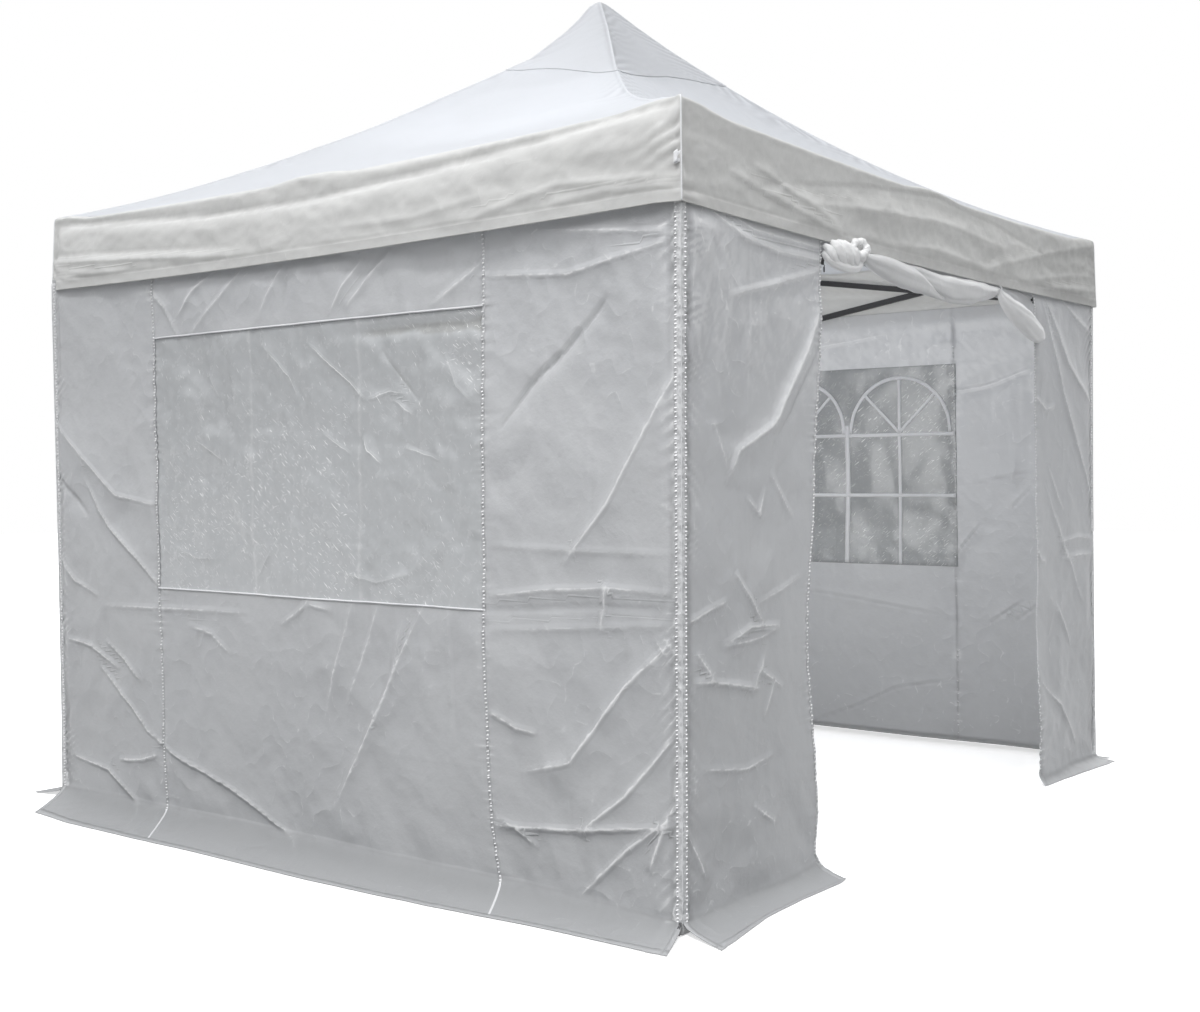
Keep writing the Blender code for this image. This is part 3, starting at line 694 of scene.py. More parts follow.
def sewRoof(name, corners, grid, lift, finish, thick, hollow=0.0):
    places, plan, tone = roofGrid(corners, grid, lift, hollow)
    rings, around = places.shape[:2]
    number = np.arange(rings * around).reshape(rings, around)
    number = np.concatenate((number, number[:, :1]), axis=1)
    cells = np.stack((number[1:, :-1], number[1:, 1:], number[:-1, 1:], number[:-1, :-1]), axis=-1)
    faces = cells.reshape(-1, 4).tolist() + [number[0, :-1].tolist()]
    return putMesh(name, places, faces, plan, finish, thick, {"tone": tone})


def makeRoof():
    canopy = sewRoof("roof_canopy", (tent["half"] - tent["eaveInset"],) * 4, roofLook["canopyGrid"], 0.0,
                     "roofCloth", roofLook["thick"])
    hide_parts(*("roof_gore_" + side for side in sideTurns))
    cap = sewRoof("roof_peak_cap", roofLook["capCorners"], roofLook["capGrid"], roofLook["capLift"],
                  "capCloth", roofLook["capThick"], roofLook["capHollow"])
    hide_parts("peak_cap")


makeRoof()
print("roof ready")


# valances
valanceLook = {
    "step": {"left": 0.0105, "front": 0.0105, "right": 0.02, "back": 0.02}, "thick": 0.0014,
    "hemHeight": 0.034, "hemRise": 0.0008, "sag": 0.015, "foldGain": 1.3,
    # below the eave the left and back cloths turn out on a line, given as across and height, and by how much
    "shelfLine": ((-1.5, -1.10, -0.56, -0.03, 0.44, 1.0, 1.24, 1.5),
                  (2.21, 2.184, 2.145, 2.133, 2.151, 2.186, 2.205, 2.222)),
    "shelf": 0.021,
    # the roll over the eave: at these shares of the drop, how far out and how far down the cloth lies
    "rollAt": (0, 0.012, 0.025, 0.04, 0.055, 0.075, 0.1, 0.2, 1),
    "rollOut": (-0.016, -0.013, -0.0088, -0.0052, -0.0028, -0.0012, -0.0004, 0.0004, 0.0072),
    "rollDown": (-0.0037, -0.0023, 0.0, 0.003, 0.0068, 0.0125, 0.020, 0.050, 1),
    "depth": 0.285,
    "foldsLeft": [
        (9, 24, 0.3, (-1.56, 2.072), (-0.9, 2.03), (-0.3, 1.985)),
        (-6, 20, 0.0, (-1.5, 2.095), (-0.95, 2.06), (-0.35, 2.02)),
        (6, 15, 0.2, (0.75, 1.99), (1.08, 2.05), (1.55, 2.025)),
        (5, 12, 0.0, (1.05, 2.0), (1.25, 2.015), (1.53, 2.0)),
        (5, 12, 0.2, (-1.52, 2.04), (-1.2, 2.0), (-0.95, 1.99)),
        (4, 11, 0.0, (-1.52, 2.01), (-1.3, 1.99)),
        (4, 16, 0.0, (0.1, 2.03), (0.5, 2.02), (0.9, 2.06)),
    ],
    "foldsFront": [
        (-8, 30, 0.3, (-1.1, 2.07), (-0.5, 2.155), (0.0, 2.2), (0.5, 2.17), (0.95, 2.11)),
        (8, 34, 0.0, (-0.9, 2.05), (-0.3, 2.10), (0.1, 2.12), (0.6, 2.09)),
        (7, 18, 0.3, (-1.28, 2.08), (-0.9, 2.02), (-0.65, 1.98)),
        (6, 15, 0.3, (-1.15, 2.12), (-0.85, 2.05), (-0.68, 2.01)),
        (-5, 16, 0.0, (-1.2, 2.05), (-0.95, 2.01)),
        (6, 22, 0.3, (0.35, 1.99), (1.0, 2.13), (1.55, 2.23)),
        (6, 16, 0.2, (0.95, 1.985), (1.25, 2.01), (1.56, 2.03)),
        (4, 13, 0.0, (0.7, 1.99), (1.2, 2.06), (1.5, 2.09)),
        (5, 20, 0.0, (-0.4, 1.99), (0.0, 2.02), (0.5, 1.99)),
    ],
}


def valanceRelief(side, across, height, folds):
    # the folds, slow waves and facets, and short gathers beside both corner seams
    fromEnd = tent["half"] - np.abs(across)
    turned = 11.3 * sideTurns[side]
    half = turned + np.where(across > 0, 3.1, 0.0)
    phase = (height + 0.45 * fromEnd) / 0.040 + 0.9 * softWaves(height * 12 + half, fromEnd * 9, 21)
    gathers = 0.0062 * np.sin(2 * np.pi * phase) * np.exp(-fromEnd / 0.055) * smoothStep(fromEnd, 0.0, 0.014)
    gathers = gathers * np.clip(0.5 + softWaves(height * 7 + half, 0 * height, 22), 0, 1.3)
    slow = 0.005 * softWaves(across * 1.7 + turned, height * 5, 23)
    small = 0.0032 * creasedWaves(across * 6 + turned, height * 11, 24)
    small = small + 0.0012 * creasedWaves(across * 15 + turned, height * 24, 25)
    small = small + 0.002 - 0.010 * cellEdges(across * 5 + 0.3 * slow + turned, height * 9, 26)
    small = small - 0.0035 * cellEdges(across * 15 + turned, height * 22, 27)
    edge = smoothStep(fromEnd, 0.0, 0.03)
    return (valanceLook["foldGain"] * foldRelief(across, height, folds) + slow + small) * edge + gathers


def valancePoint(side, across, drop, folds):
    # drop is 0 at the roof's edge and 1 at the hem; the cloth rolls over the eave, then falls in folds
    part = across / tent["half"]
    inner = tent["half"] - tent["eaveInset"]
    seam = roofRelief(side, part * inner, inner) * (1 - smoothStep(drop, 0.0, 0.1))
    eave = roofHeight(side, part * inner, inner + 0 * part) + seam - 0.002
    foot = tent["valanceFoot"] + 0.004 - valanceLook["sag"] * (1 - part ** 2)
    rollOut = np.interp(drop, valanceLook["rollAt"], valanceLook["rollOut"])
    rollDown = np.interp(drop, valanceLook["rollAt"], valanceLook["rollDown"])
    height = np.where(drop > 0.2, eave + (foot - eave) * drop, eave - rollDown)
    height = np.where(drop > 0.2, height, eave - rollDown * (eave - foot) / valanceLook["depth"])
    free = smoothStep(drop, 0.03, 0.12)
    bulge = 0 * height
    if side in ("left", "back"):
        below = np.interp(across, *valanceLook["shelfLine"]) - height
        bulge = valanceLook["shelf"] * (1 - np.exp(-np.clip(below, 0, 1) / 0.021))
        bulge = bulge * smoothStep(1 - np.abs(part), 0.005, 0.05)
    relief = valanceRelief(side, across, height, folds)
    hem = np.clip((height - foot) / valanceLook["hemHeight"], 0, 1.4)
    groove = 0.0012 * np.exp(-((hem - 1.03) / 0.06) ** 2)
    hemRise = valanceLook["hemRise"] * (1 - smoothStep(hem, 0.93, 1.0)) - groove
    calm = 0.35 + 0.65 * smoothStep(hem, 0.3, 1.3)
    out = tent["half"] + rollOut + bulge + np.maximum(relief * calm * free, -0.003 - bulge) + hemRise * free
    stretch = (tent["half"] + rollOut) / tent["half"]
    return onSide(side, across * stretch, out, height), height


def makeValance(side, folds):
    across = clothLines((-1.5, 1.5), valanceLook["step"][side])
    drop = np.unique((*valanceLook["rollAt"][:6], *np.linspace(0.1, 1, 25), 0.868, 0.885, 0.99))
    across, drop = np.meshgrid(across, drop[::-1])
    places, height = valancePoint(side, across, drop, folds)
    marks = clothMarks(lambda a, z: valanceRelief(side, a, z, folds), folds, across, height, 0.009, 0.0016)
    marks["creaseGain"] *= 0.5
    # painted highlight where the cloth rolls over the eave
    marks["tone"] += 0.9 * (1 - smoothStep(drop, 0.0, 0.03))
    if side in ("left", "back"):
        # painted highlight just below the shelf line and painted shade just above it, and painted shade
        # towards one end
        above = height - np.interp(across, *valanceLook["shelfLine"])
        ridge = np.exp(-((above + 0.012) / 0.009) ** 2)
        paintedValleyShade = np.exp(-((above - 0.014) / 0.013) ** 2)
        marks["tone"] += ridge - 1.3 * paintedValleyShade
        marks["tone"] -= 0.7 * smoothStep(across, 0.9, 1.3) * smoothStep(drop, 0.25, 0.4)
    else:
        # painted shade over the front and right valances, deeper towards one end
        marks["tone"] -= 0.85 + 0.8 * smoothStep(across, 0.6, 1.2)
    plan = np.stack((across, -drop * valanceLook["depth"]), axis=-1)
    band = sewCloth("valance_cloth_" + side, places, plan, "valanceCloth", valanceLook["thick"], marks=marks)
    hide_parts("valance_" + side)


makeValance("left", valanceLook["foldsLeft"])
makeValance("front", valanceLook["foldsFront"])
makeValance("back", valanceLook["foldsLeft"])
makeValance("right", valanceLook["foldsFront"])
print("valances ready")


# walls
wallLook = {
    "left": {
        "ends": (-1.494, 1.494), "window": (-0.865, 0.77), "seams": (-0.865, 0.77), "seed": 40,
        "seamDrift": (((0.0, 0.1, 0.25, 0.83, 2.0), (0.075, 0.06, 0.050, 0.025, 0.0)),
                      ((0.0, 0.05, 0.2, 0.4, 0.75, 2.0), (0.085, 0.06, 0.03, 0.015, 0.0, 0.0))),
        "step": 0.0121, "flarePower": (2.2, 4.6),
        "shear": ((-1.494, -1.2, -0.79, 0.86, 1.494), (0.19, 0.22, 0.21, 0.10, 0.07)),
        "flare": ((-1.494, -1.3, -0.6, 0.0, 0.53, 0.98, 1.34, 1.494),
                  (0.222, 0.244, 0.232, 0.236, 0.210, 0.177, 0.165, 0.165)),
        "farLean": ((0.0, 0.3, 1.0, 1.9), (-0.004, -0.004, 0.004, 0.020)),
        "folds": [
            (9, 15, 0.3, (-1.31, 1.24), (-1.15, 1.05), (-1.0, 0.95), (-0.82, 0.81)),
            (12, 45, 0.0, (-1.50, 1.46), (-1.1, 1.17), (-0.83, 1.13)),
            (-7, 18, 0.0, (-1.52, 1.27), (-1.28, 1.09)),
            (6, 14, 0.2, (-1.50, 0.95), (-1.38, 0.84), (-1.22, 0.79)),
            (8, 12, 0.2, (-1.44, 0.62), (-1.28, 0.60), (-1.12, 0.52)),
            (7, 9, 0.2, (-1.20, 0.625), (-1.08, 0.56), (-0.98, 0.485)),
            (8, 11, 0.2, (-1.24, 0.53), (-1.05, 0.40), (-0.95, 0.31), (-0.90, 0.29)),
            (8, 12, 0.2, (-0.98, 0.33), (-0.8, 0.24), (-0.5, 0.16), (-0.10, 0.01)),
            (7, 10, -0.2, (-1.14, 0.185), (-1.0, 0.20), (-0.90, 0.23)),
            (7, 13, 0.2, (-1.44, 0.17), (-1.2, 0.14), (-0.98, 0.01)),
            (5, 9, 0.0, (-1.2, 0.755), (-0.8, 0.765), (-0.35, 0.77)),
            (5, 8, 0.0, (-0.71, 0.71), (-0.57, 0.69), (-0.46, 0.62)),
            (6, 22, 0.4, (0.52, 0.86), (0.3, 0.5), (0.05, 0.15)),
            (4, 15, 0.3, (0.20, 0.85), (0.09, 0.6), (0.02, 0.43)),
            (4, 15, 0.3, (0.31, 0.84), (0.2, 0.6), (0.14, 0.5)),
            (4, 18, 0.0, (0.42, 0.8), (0.36, 0.6), (0.28, 0.45)),
            (3, 6, 0.0, (0.62, 0.86), (0.62, 0.42)),
            (5, 8, 0.0, (-0.18, 0.74), (-0.02, 0.822)),
            (5, 8, 0.0, (-0.04, 0.822), (0.09, 0.80)),
            (-10, 12, 0.4, (1.25, 1.73), (1.08, 1.58), (0.95, 1.49), (0.84, 1.37)),
            (12, 40, 0.3, (1.51, 1.55), (1.25, 1.15), (1.08, 0.98)),
            (12, 36, 0.3, (1.51, 0.82), (1.3, 0.65), (1.1, 0.42), (0.9, 0.37)),
            (3, 12, 0.0, (0.74, 1.03), (1.1, 1.02), (1.5, 1.02)),
            (5, 16, -0.3, (0.74, 0.873), (1.0, 0.905), (1.25, 0.92), (1.5, 0.91)),
            (-3, 13, 0.0, (0.75, 0.83), (1.2, 0.865), (1.48, 0.865)),
            (3, 11, 0.0, (0.75, 0.772), (1.1, 0.80), (1.5, 0.83)),
            (6, 9, 0.0, (1.24, 0.935), (1.21, 0.79)),
            (6, 11, 0.0, (0.77, 0.54), (0.88, 0.50), (0.97, 0.49)),
            (6, 10, 0.0, (0.78, 0.23), (0.87, 0.21), (0.95, 0.16)),
            (8, 13, 0.0, (0.75, 0.2), (1.1, 0.23), (1.5, 0.29)),
            (7, 14, 0.0, (1.49, 0.4), (1.38, 0.15)),
            (7, 16, 0.0, (1.5, 0.56), (1.3, 0.35), (1.12, 0.22)),
            (6, 12, 0.0, (1.48, 0.32), (1.3, 0.2), (1.1, 0.04)),
            (5, 14, 0.3, (-0.31, 1.97), (-0.48, 1.85), (-0.67, 1.72)),
            (4, 10, 0.3, (-0.13, 1.94), (-0.2, 1.86), (-0.27, 1.76)),
            (5, 13, 0.3, (0.24, 1.92), (0.16, 1.84), (0.09, 1.75)),
            (5, 12, 0.3, (0.40, 1.95), (0.28, 1.87), (0.17, 1.77)),
            (5, 14, 0.3, (0.80, 1.89), (0.68, 1.82), (0.55, 1.75)),
            (5, 12, 0.2, (-0.93, 1.95), (-0.8, 1.85), (-0.71, 1.73)),
            (6, 12, 0.0, (-0.5, 1.95), (-0.62, 1.89), (-0.72, 1.80)),
            (6, 14, 0.0, (0.74, 1.825), (1.1, 1.80), (1.5, 1.865)),
            (5, 12, 0.0, (0.95, 1.94), (1.3, 1.90), (1.5, 1.875)),
        ],
    },
    "right": {
        "ends": (-1.494, 1.494), "window": (-0.84, 0.80), "seams": (-0.84, 0.80), "seed": 60,
        "seamDrift": (((0.0, 2.0), (-0.03, 0.0)), ((0.0, 2.0), (0.02, 0.0))),
        "step": 0.0195, "flarePower": (2.2, 5.0), "shear": ((-1.494, 1.494), (-0.03, 0.03)),
        "flare": ((-1.494, -1.0, 1.0, 1.494), (0.10, 0.15, 0.16, 0.13)),
        "folds": [
            (-9, 12, 0.2, (-0.82, 0.85), (-0.97, 1.02)),
            (8, 24, 0.0, (-0.84, 1.62), (-1.0, 1.64), (-1.22, 1.71)),
            (-6, 14, 0.0, (-0.93, 1.2), (-1.25, 1.26)),
            (-6, 10, 0.0, (-1.12, 1.09), (-1.22, 1.19)),
            (-7, 10, 0.0, (-1.0, 0.57), (-1.17, 0.68)),
            (-7, 10, 0.0, (-1.13, 0.59), (-1.25, 0.67)),
            (-7, 14, 0.0, (-0.05, 0.03), (-0.35, 0.15), (-0.55, 0.25), (-0.85, 0.31)),
            (-5, 14, 0.0, (0.1, 0.7), (-0.3, 0.66), (-0.75, 0.6)),
            (6, 20, 0.0, (0.7, 1.9), (0.1, 1.84), (-0.5, 1.9)),
            (-6, 18, 0.0, (1.4, 1.2), (1.1, 0.9), (0.9, 0.8)),
            (7, 20, 0.0, (1.45, 0.7), (1.2, 0.5), (0.9, 0.3)),
        ],
    },
    "back": {
        "ends": (-1.494, 1.494), "window": (-0.8175, 0.8175), "seams": (-0.8175, 0.8175), "seed": 80,
        "seamDrift": (((0.0, 2.0), (0.02, 0.0)), ((0.0, 2.0), (-0.02, 0.0))),
        "step": 0.025, "flarePower": (2.2, 5.0), "shear": ((-1.494, 1.494), (-0.03, 0.03)),
        "flare": ((-1.494, 0.0, 1.494), (0.145, 0.15, 0.145)),
        "folds": [
            (9, 18, 0.3, (1.31, 1.24), (1.15, 1.05), (1.0, 0.95), (0.80, 0.81)),
            (11, 45, 0.0, (1.50, 1.46), (1.1, 1.17), (0.83, 1.13)),
            (8, 16, 0.2, (1.24, 0.53), (1.05, 0.40), (0.92, 0.30)),
            (8, 16, 0.2, (0.98, 0.33), (0.8, 0.24), (0.5, 0.16), (0.10, 0.01)),
            (7, 18, 0.2, (1.44, 0.17), (1.2, 0.14), (0.98, 0.01)),
            (6, 24, 0.4, (-0.52, 0.86), (-0.3, 0.5), (-0.05, 0.15)),
            (5, 18, 0.3, (-0.20, 0.85), (-0.09, 0.6), (-0.02, 0.43)),
            (11, 40, 0.3, (-1.51, 1.55), (-1.25, 1.15), (-1.08, 0.98)),
            (11, 36, 0.3, (-1.51, 0.82), (-1.3, 0.65), (-1.1, 0.42), (-0.9, 0.37)),
            (9, 18, -0.3, (-0.74, 0.873), (-1.0, 0.905), (-1.25, 0.92), (-1.5, 0.91)),
            (7, 16, 0.0, (-0.75, 0.2), (-1.1, 0.23), (-1.5, 0.29)),
            (5, 18, 0.3, (0.31, 1.97), (0.48, 1.85), (0.67, 1.72)),
            (5, 18, 0.3, (-0.24, 1.92), (-0.16, 1.84), (-0.09, 1.75)),
        ],
    },
    "frontLeft": {
        "ends": (-1.494, -0.80), "window": None, "seams": (-0.80,), "seed": 100,
        "edge": ((0.0, 0.08, 0.20, 0.35, 0.5, 0.7, 0.85, 1.1, 1.3, 1.45, 1.6, 1.9, 2.0),
                 (0.05, -0.01, 0.005, -0.01, -0.03, -0.06, -0.06, -0.02, -0.01, 0.0, 0.025, 0.03, 0.03)),
        "step": 0.0105, "flarePower": (2.2, 4.6), "shear": ((-1.494, -0.8), (-0.045, 0.0)),
        "flare": ((-1.494, -1.433, -1.212, -1.02, -0.84, -0.79), (0.157, 0.145, 0.096, 0.078, 0.084, 0.07)),
        "zipShade": ((0.0, 0.5, 1.1, 1.3, 1.78, 1.80, 1.86, 1.875, 2.0),
                     (0.3, 0.7, 1.2, 2.0, 2.2, 0.4, 0.4, 2.2, 2.2)),
        "folds": [
            (7, 15, 0.3, (-1.39, 1.97), (-1.2, 1.90), (-1.0, 1.885), (-0.76, 1.89)),
            (6, 13, 0.3, (-1.30, 1.97), (-1.15, 1.93), (-0.78, 1.925)),
            (6, 16, 0.0, (-1.28, 1.73), (-1.0, 1.80), (-0.75, 1.87)),
            (12, 24, 0.4, (-0.76, 1.80), (-0.95, 1.5), (-1.05, 1.38), (-1.22, 1.30), (-1.28, 1.21)),
            (-5, 16, 0.0, (-0.78, 1.66), (-0.93, 1.42), (-1.05, 1.32)),
            (4, 9, 0.0, (-1.34, 1.38), (-1.27, 1.24)),
            (5, 9, 0.0, (-1.06, 1.24), (-0.92, 1.10)),
            (5, 9, 0.0, (-1.17, 1.17), (-1.11, 1.12), (-1.08, 1.2)),
            (6, 8, 0.0, (-1.25, 0.96), (-1.17, 0.88), (-1.08, 0.80)),
            (6, 8, 0.0, (-1.49, 0.825), (-1.38, 0.86), (-1.28, 0.885)),
            (7, 9, 0.0, (-1.30, 0.76), (-1.17, 0.80), (-0.98, 0.795)),
            (5, 8, 0.0, (-1.31, 0.755), (-1.1, 0.765), (-0.98, 0.79)),
            (7, 8, 0.0, (-1.45, 0.67), (-1.37, 0.665), (-1.11, 0.62)),
            (6, 8, 0.0, (-1.43, 0.75), (-1.35, 0.66)),
            (5, 8, 0.0, (-1.12, 0.68), (-0.97, 0.61)),
            (5, 8, 0.0, (-1.09, 0.53), (-1.03, 0.63)),
            (4, 8, 0.0, (-1.16, 0.61), (-1.07, 0.72)),
            (4, 10, 0.0, (-0.85, 0.93), (-1.12, 0.865)),
            (5, 12, 0.0, (-1.42, 0.43), (-1.2, 0.40), (-1.03, 0.42)),
            (5, 10, 0.0, (-1.16, 0.29), (-1.04, 0.22)),
            (6, 16, 0.0, (-1.49, 0.30), (-1.38, 0.12)),
        ],
    },
    "frontRight": {
        "ends": (0.90, 1.494), "window": None, "seams": (0.90,), "seed": 120,
        "edge": ((0.0, 0.2, 0.35, 0.5, 0.9, 1.3, 1.6, 1.75, 2.0),
                 (0.01, 0.03, 0.02, 0.005, 0.0, -0.01, -0.03, -0.04, -0.04)),
        "lean": ((0.0, 0.1, 0.5, 1.2, 1.95), (0.048, 0.045, 0.03, 0.008, 0.0)),
        "step": 0.012, "flarePower": (2.2, 4.0), "shear": ((0.9, 1.494), (0.0, 0.05)),
        "flare": ((0.9, 1.067, 1.265, 1.494), (0.03, 0.034, 0.056, 0.07)),
        "folds": [
            (9, 20, 0.3, (0.98, 1.97), (1.2, 1.70), (1.5, 1.52)),
            (8, 18, 0.3, (0.97, 1.94), (1.15, 1.60), (1.48, 1.12)),
            (6, 14, 0.0, (1.12, 1.98), (1.3, 1.89), (1.49, 1.84)),
            (6, 11, 0.0, (1.03, 1.27), (1.17, 1.09)),
            (6, 11, 0.0, (0.88, 1.56), (1.0, 1.50), (1.1, 1.52)),
            (6, 10, 0.0, (1.08, 0.72), (1.22, 0.54)),
            (7, 14, 0.0, (0.92, 0.42), (1.1, 0.30), (1.28, 0.11)),
            (5, 12, 0.0, (1.1, 0.96), (1.3, 0.98), (1.49, 0.965)),
            (5, 12, 0.0, (1.15, 0.895), (1.3, 0.905), (1.49, 0.9)),
            (6, 12, 0.0, (0.86, 1.0), (0.93, 0.9), (1.0, 0.885)),
            (6, 16, 0.0, (1.0, 1.2), (1.2, 0.9), (1.35, 0.7)),
        ],
    },
}
wallCommon = {"thick": 0.0012, "windowFoot": 0.835, "windowHead": 1.735, "filmBack": 0.0022, "foldGain": 1.5,
              "hollow": 0.0085, "skirtShade": 2.75,
              # creases left by its packing: the heights of the level ones, the places of the upright ones
              "packed": ((0.375, 0.76, 1.37), (-1.17, -0.38, 0.40, 1.18))}


def wallSide(key):
    return "front" if key.startswith("front") else key


def wallRelief(key, across, height):
    # broad waves, facets, storage creases and the wall's own folds, calm at the ends and behind the valance
    look = wallLook[key]
    seed = look["seed"]
    broad = 0.007 * softWaves(across * 2.1 + seed, height * 1.6, seed)
    facets = 0.0055 * creasedWaves(across * 4.2 + seed, height * 3.6, seed + 3)
    facets = facets + 0.0026 * creasedWaves(across * 9 + seed, height * 8, seed + 6)
    facets = facets + 0.0011 * creasedWaves(across * 21 + seed, height * 19, seed + 8)
    bend = 0.3 * softWaves(across * 3.3, height * 3.7, seed + 22)
    strength = 0.55 + 0.45 * softWaves(across * 1.6 + seed, height * 1.4, seed + 21)
    cells = 0.0095 - 0.026 * cellEdges(across * 4.1 + bend + seed, height * 3.0 - bend, seed + 23)
    finer = 0.0052 * cellEdges(across * 13 + 2 * bend + seed, height * 10 + bend, seed + 24)
    facets = facets + strength * (cells - finer)
    waver = 0.006 * softWaves(across * 3, 0 * across, seed + 9)
    level, upright = wallCommon["packed"]
    packed = sum(0.0011 * np.exp(-np.abs(height - crease - waver) / 0.006) for crease in level)
    packed = packed + sum(0.0009 * np.exp(-np.abs(across - crease) / 0.006) for crease in upright)
    packed = packed * np.clip(0.3 + 1.6 * softWaves(across * 2.3, height * 3.1, seed + 18), 0, 1)
    relief = broad + facets + packed + wallCommon["foldGain"] * foldRelief(across, height, look["folds"])
    for seam in look["seams"]:
        near = np.abs(across - seam)
        phase = height / 0.036 + 1.3 * softWaves(height * 13, across * 3, seed + 12)
        swing = 0.55 + 0.45 * softWaves(height * 6 + seam, across * 2, seed + 13)
        ticks = np.sin(2 * np.pi * phase) * swing
        relief = relief * smoothStep(near, -0.02, 0.03) + 0.0040 * ticks * np.exp(-near / 0.024)
    # slanting gathers beside the corner zip, in a hollow between it and the leg
    closeness = tent["wallEnd"] - np.abs(across)
    phase = (height + 0.9 * closeness) / 0.043 + 1.5 * softWaves(height * 11, across * 4, seed + 15)
    ticks = np.sin(2 * np.pi * phase) * (0.45 + 0.55 * softWaves(height * 5, across * 2, seed + 16))
    hollow = 0.5 + 0.5 * softWaves(height * 6, 0 * across, seed + 17)
    slant = 0.0062 * ticks * np.exp(-np.abs(closeness - 0.024) / 0.030)
    relief = relief * smoothStep(closeness, -0.01, 0.06) + slant
    relief = relief - wallCommon["hollow"] * hollow * np.exp(-((closeness - 0.036) / 0.013) ** 2)
    relief = relief * smoothStep(closeness, 0.014, 0.024)
    calm = 1 - 0.85 * smoothStep(height, 1.90, 1.95)
    lowest = -0.009 + 0.007 * (1 - smoothStep(height, 0.02, 0.06)) + 0.007 * smoothStep(height, 1.90, 1.94)
    return np.maximum(relief * calm, lowest)


def skirtRun():
    # the skirt's own curve, out = reach * (1 - rise) ** 2.2, as the length along it at each rise
    rise = np.linspace(1, 0, 90)
    out = tent["skirtReach"] * (1 - rise) ** 2.2
    return rise, np.concatenate(([0], np.cumsum(np.hypot(np.diff(out), tent["skirtTop"] * np.diff(rise)))))


skirtRise, skirtLength = skirtRun()
tent["skirtEnd"] = tent["skirtTop"] - float(skirtLength[-1])


def clothHeight(length):
    # length is measured up the cloth; below the skirt's top it follows the skirt's curve, t from 0 to 1
    t = 1 - np.interp(tent["skirtTop"] - length, skirtLength, skirtRise)
    return np.where(length > tent["skirtTop"], length, tent["skirtTop"] * (1 - t)), t


def flareHere(key, across):
    # how far the skirt flares at a place along the wall, and the power of its curve there
    low, high = wallLook[key]["flarePower"]
    power = low + (high - low) * (np.abs(across) / tent["wallEnd"]) ** 6
    return np.interp(across, *wallLook[key]["flare"]), power


def skirtTurn(key, across, t):
    # 0 where the skirt hangs and 1 where it lies; its slope is flare * power * t ** (power - 1) / top
    flare, power = flareHere(key, across)
    slope = flare * power * t ** (power - 1) / tent["skirtTop"]
    return smoothStep(slope / np.sqrt(1 + slope ** 2), 0.0, 0.6)


def wallPoint(key, across, length, lift=0.0, film=False, upright=False):
    # out from the tent = wall face + flare * t ** power + relief; the skirt shears along the wall too
    look = wallLook[key]
    height, t = (length, 0.0 * length) if upright else clothHeight(length)
    flare, power = flareHere(key, across)
    relief = wallRelief(key, across, height)
    if film:
        relief = relief + filmRelief(key, across, height)
    out = tent["wallFace"] + flare * t ** power + relief * (1 - 0.6 * t) + lift
    shift = np.interp(across, *look["shear"]) * t ** power
    if "seamDrift" in look:
        lowSeam, highSeam = look["seams"]
        low = np.interp(height, *look["seamDrift"][0])
        high = np.interp(height, *look["seamDrift"][1])
        between = np.clip((across - lowSeam) / (highSeam - lowSeam), 0, 1)
        hold = np.clip((tent["wallEnd"] - np.abs(across)) / (tent["wallEnd"] - 0.8), 0, 1)
        shift = shift + (low * (1 - between) + high * between) * hold
    if "edge" in look:
        start, end = look["ends"]
        inner = start if start > 0 else end
        share = 1 - np.clip(np.abs(across - inner) / 0.45, 0, 1)
        shift = shift + np.interp(height, *look["edge"]) * share ** 1.3
    if "lean" in look:
        shift = shift + np.interp(height, *look["lean"]) * smoothStep(across, 0.9, 1.49)
    if key in ("left", "back"):
        towardEnd = smoothStep(np.abs(across), 0.5, 1.49)
        lean = np.interp(height, *wallLook["left"]["farLean"]) * towardEnd * (1 - t)
        if key == "left":
            out = out + lean * (across < 0)
        else:
            shift = shift + lean * (across > 0)
    if key == "right":
        out = out + np.interp(height, *wallLook["frontRight"]["lean"]) * smoothStep(-across, 0.4, 1.49)
    return onSide(wallSide(key), across + shift, out, height + tent["foot"])


def filmRelief(key, across, height):
    # hard small facets, dying out at the film's sewn edge, and a droop under the right part of the head
    look = wallLook[key]
    start, end = look["window"]
    edge = np.minimum(np.minimum(across - start, end - across),
                      np.minimum(height - wallCommon["windowFoot"], wallCommon["windowHead"] - height))
    hold = smoothStep(edge, 0.0, 0.05)
    seed = look["seed"] + 200
    crush = 0.0030 * creasedWaves(across * 12, height * 14, seed)
    crush = crush + 0.0020 * creasedWaves(across * 26, height * 29, seed + 4)
    creases = windowLook["creases"] if key == "left" else []
    crush = crush * (0.35 if key == "right" else 1) + foldRelief(across, height, creases)
    slack = -0.011 * np.exp(-((wallCommon["windowHead"] - 0.045 - height) / 0.022) ** 2)
    slack = slack * smoothStep(across, 0.05, 0.35)
    return crush * hold + slack * smoothStep(edge, 0.0, 0.02)


def filmMarks(key, across, height):
    # the film's creases, the shade in its slack part under the head, and where it lies on the glazing bars
    marks = clothMarks(lambda a, z: wallRelief(key, a, z) + filmRelief(key, a, z), windowLook["creases"],
                       across, height, 0.008, 0.0034)
    if key != "left":
        marks["creaseGain"] *= 0
        return marks
    shade = np.exp(-((wallCommon["windowHead"] - 0.052 - height) / 0.018) ** 2)
    shade = shade * smoothStep(across, 0.05, 0.4)
    marks["tone"] -= 1.3 * shade * np.clip(0.7 + 0.8 * softWaves(across * 13, height * 15, 71), 0, 1.2)
    start, end = wallLook[key]["window"]
    for number in range(1, 6):
        bar = start + (end - start) * number / 6
        marks["tone"] += (0.22 if number % 2 else 0.42) * np.exp(-((across - bar) / 0.009) ** 2)
    return marks


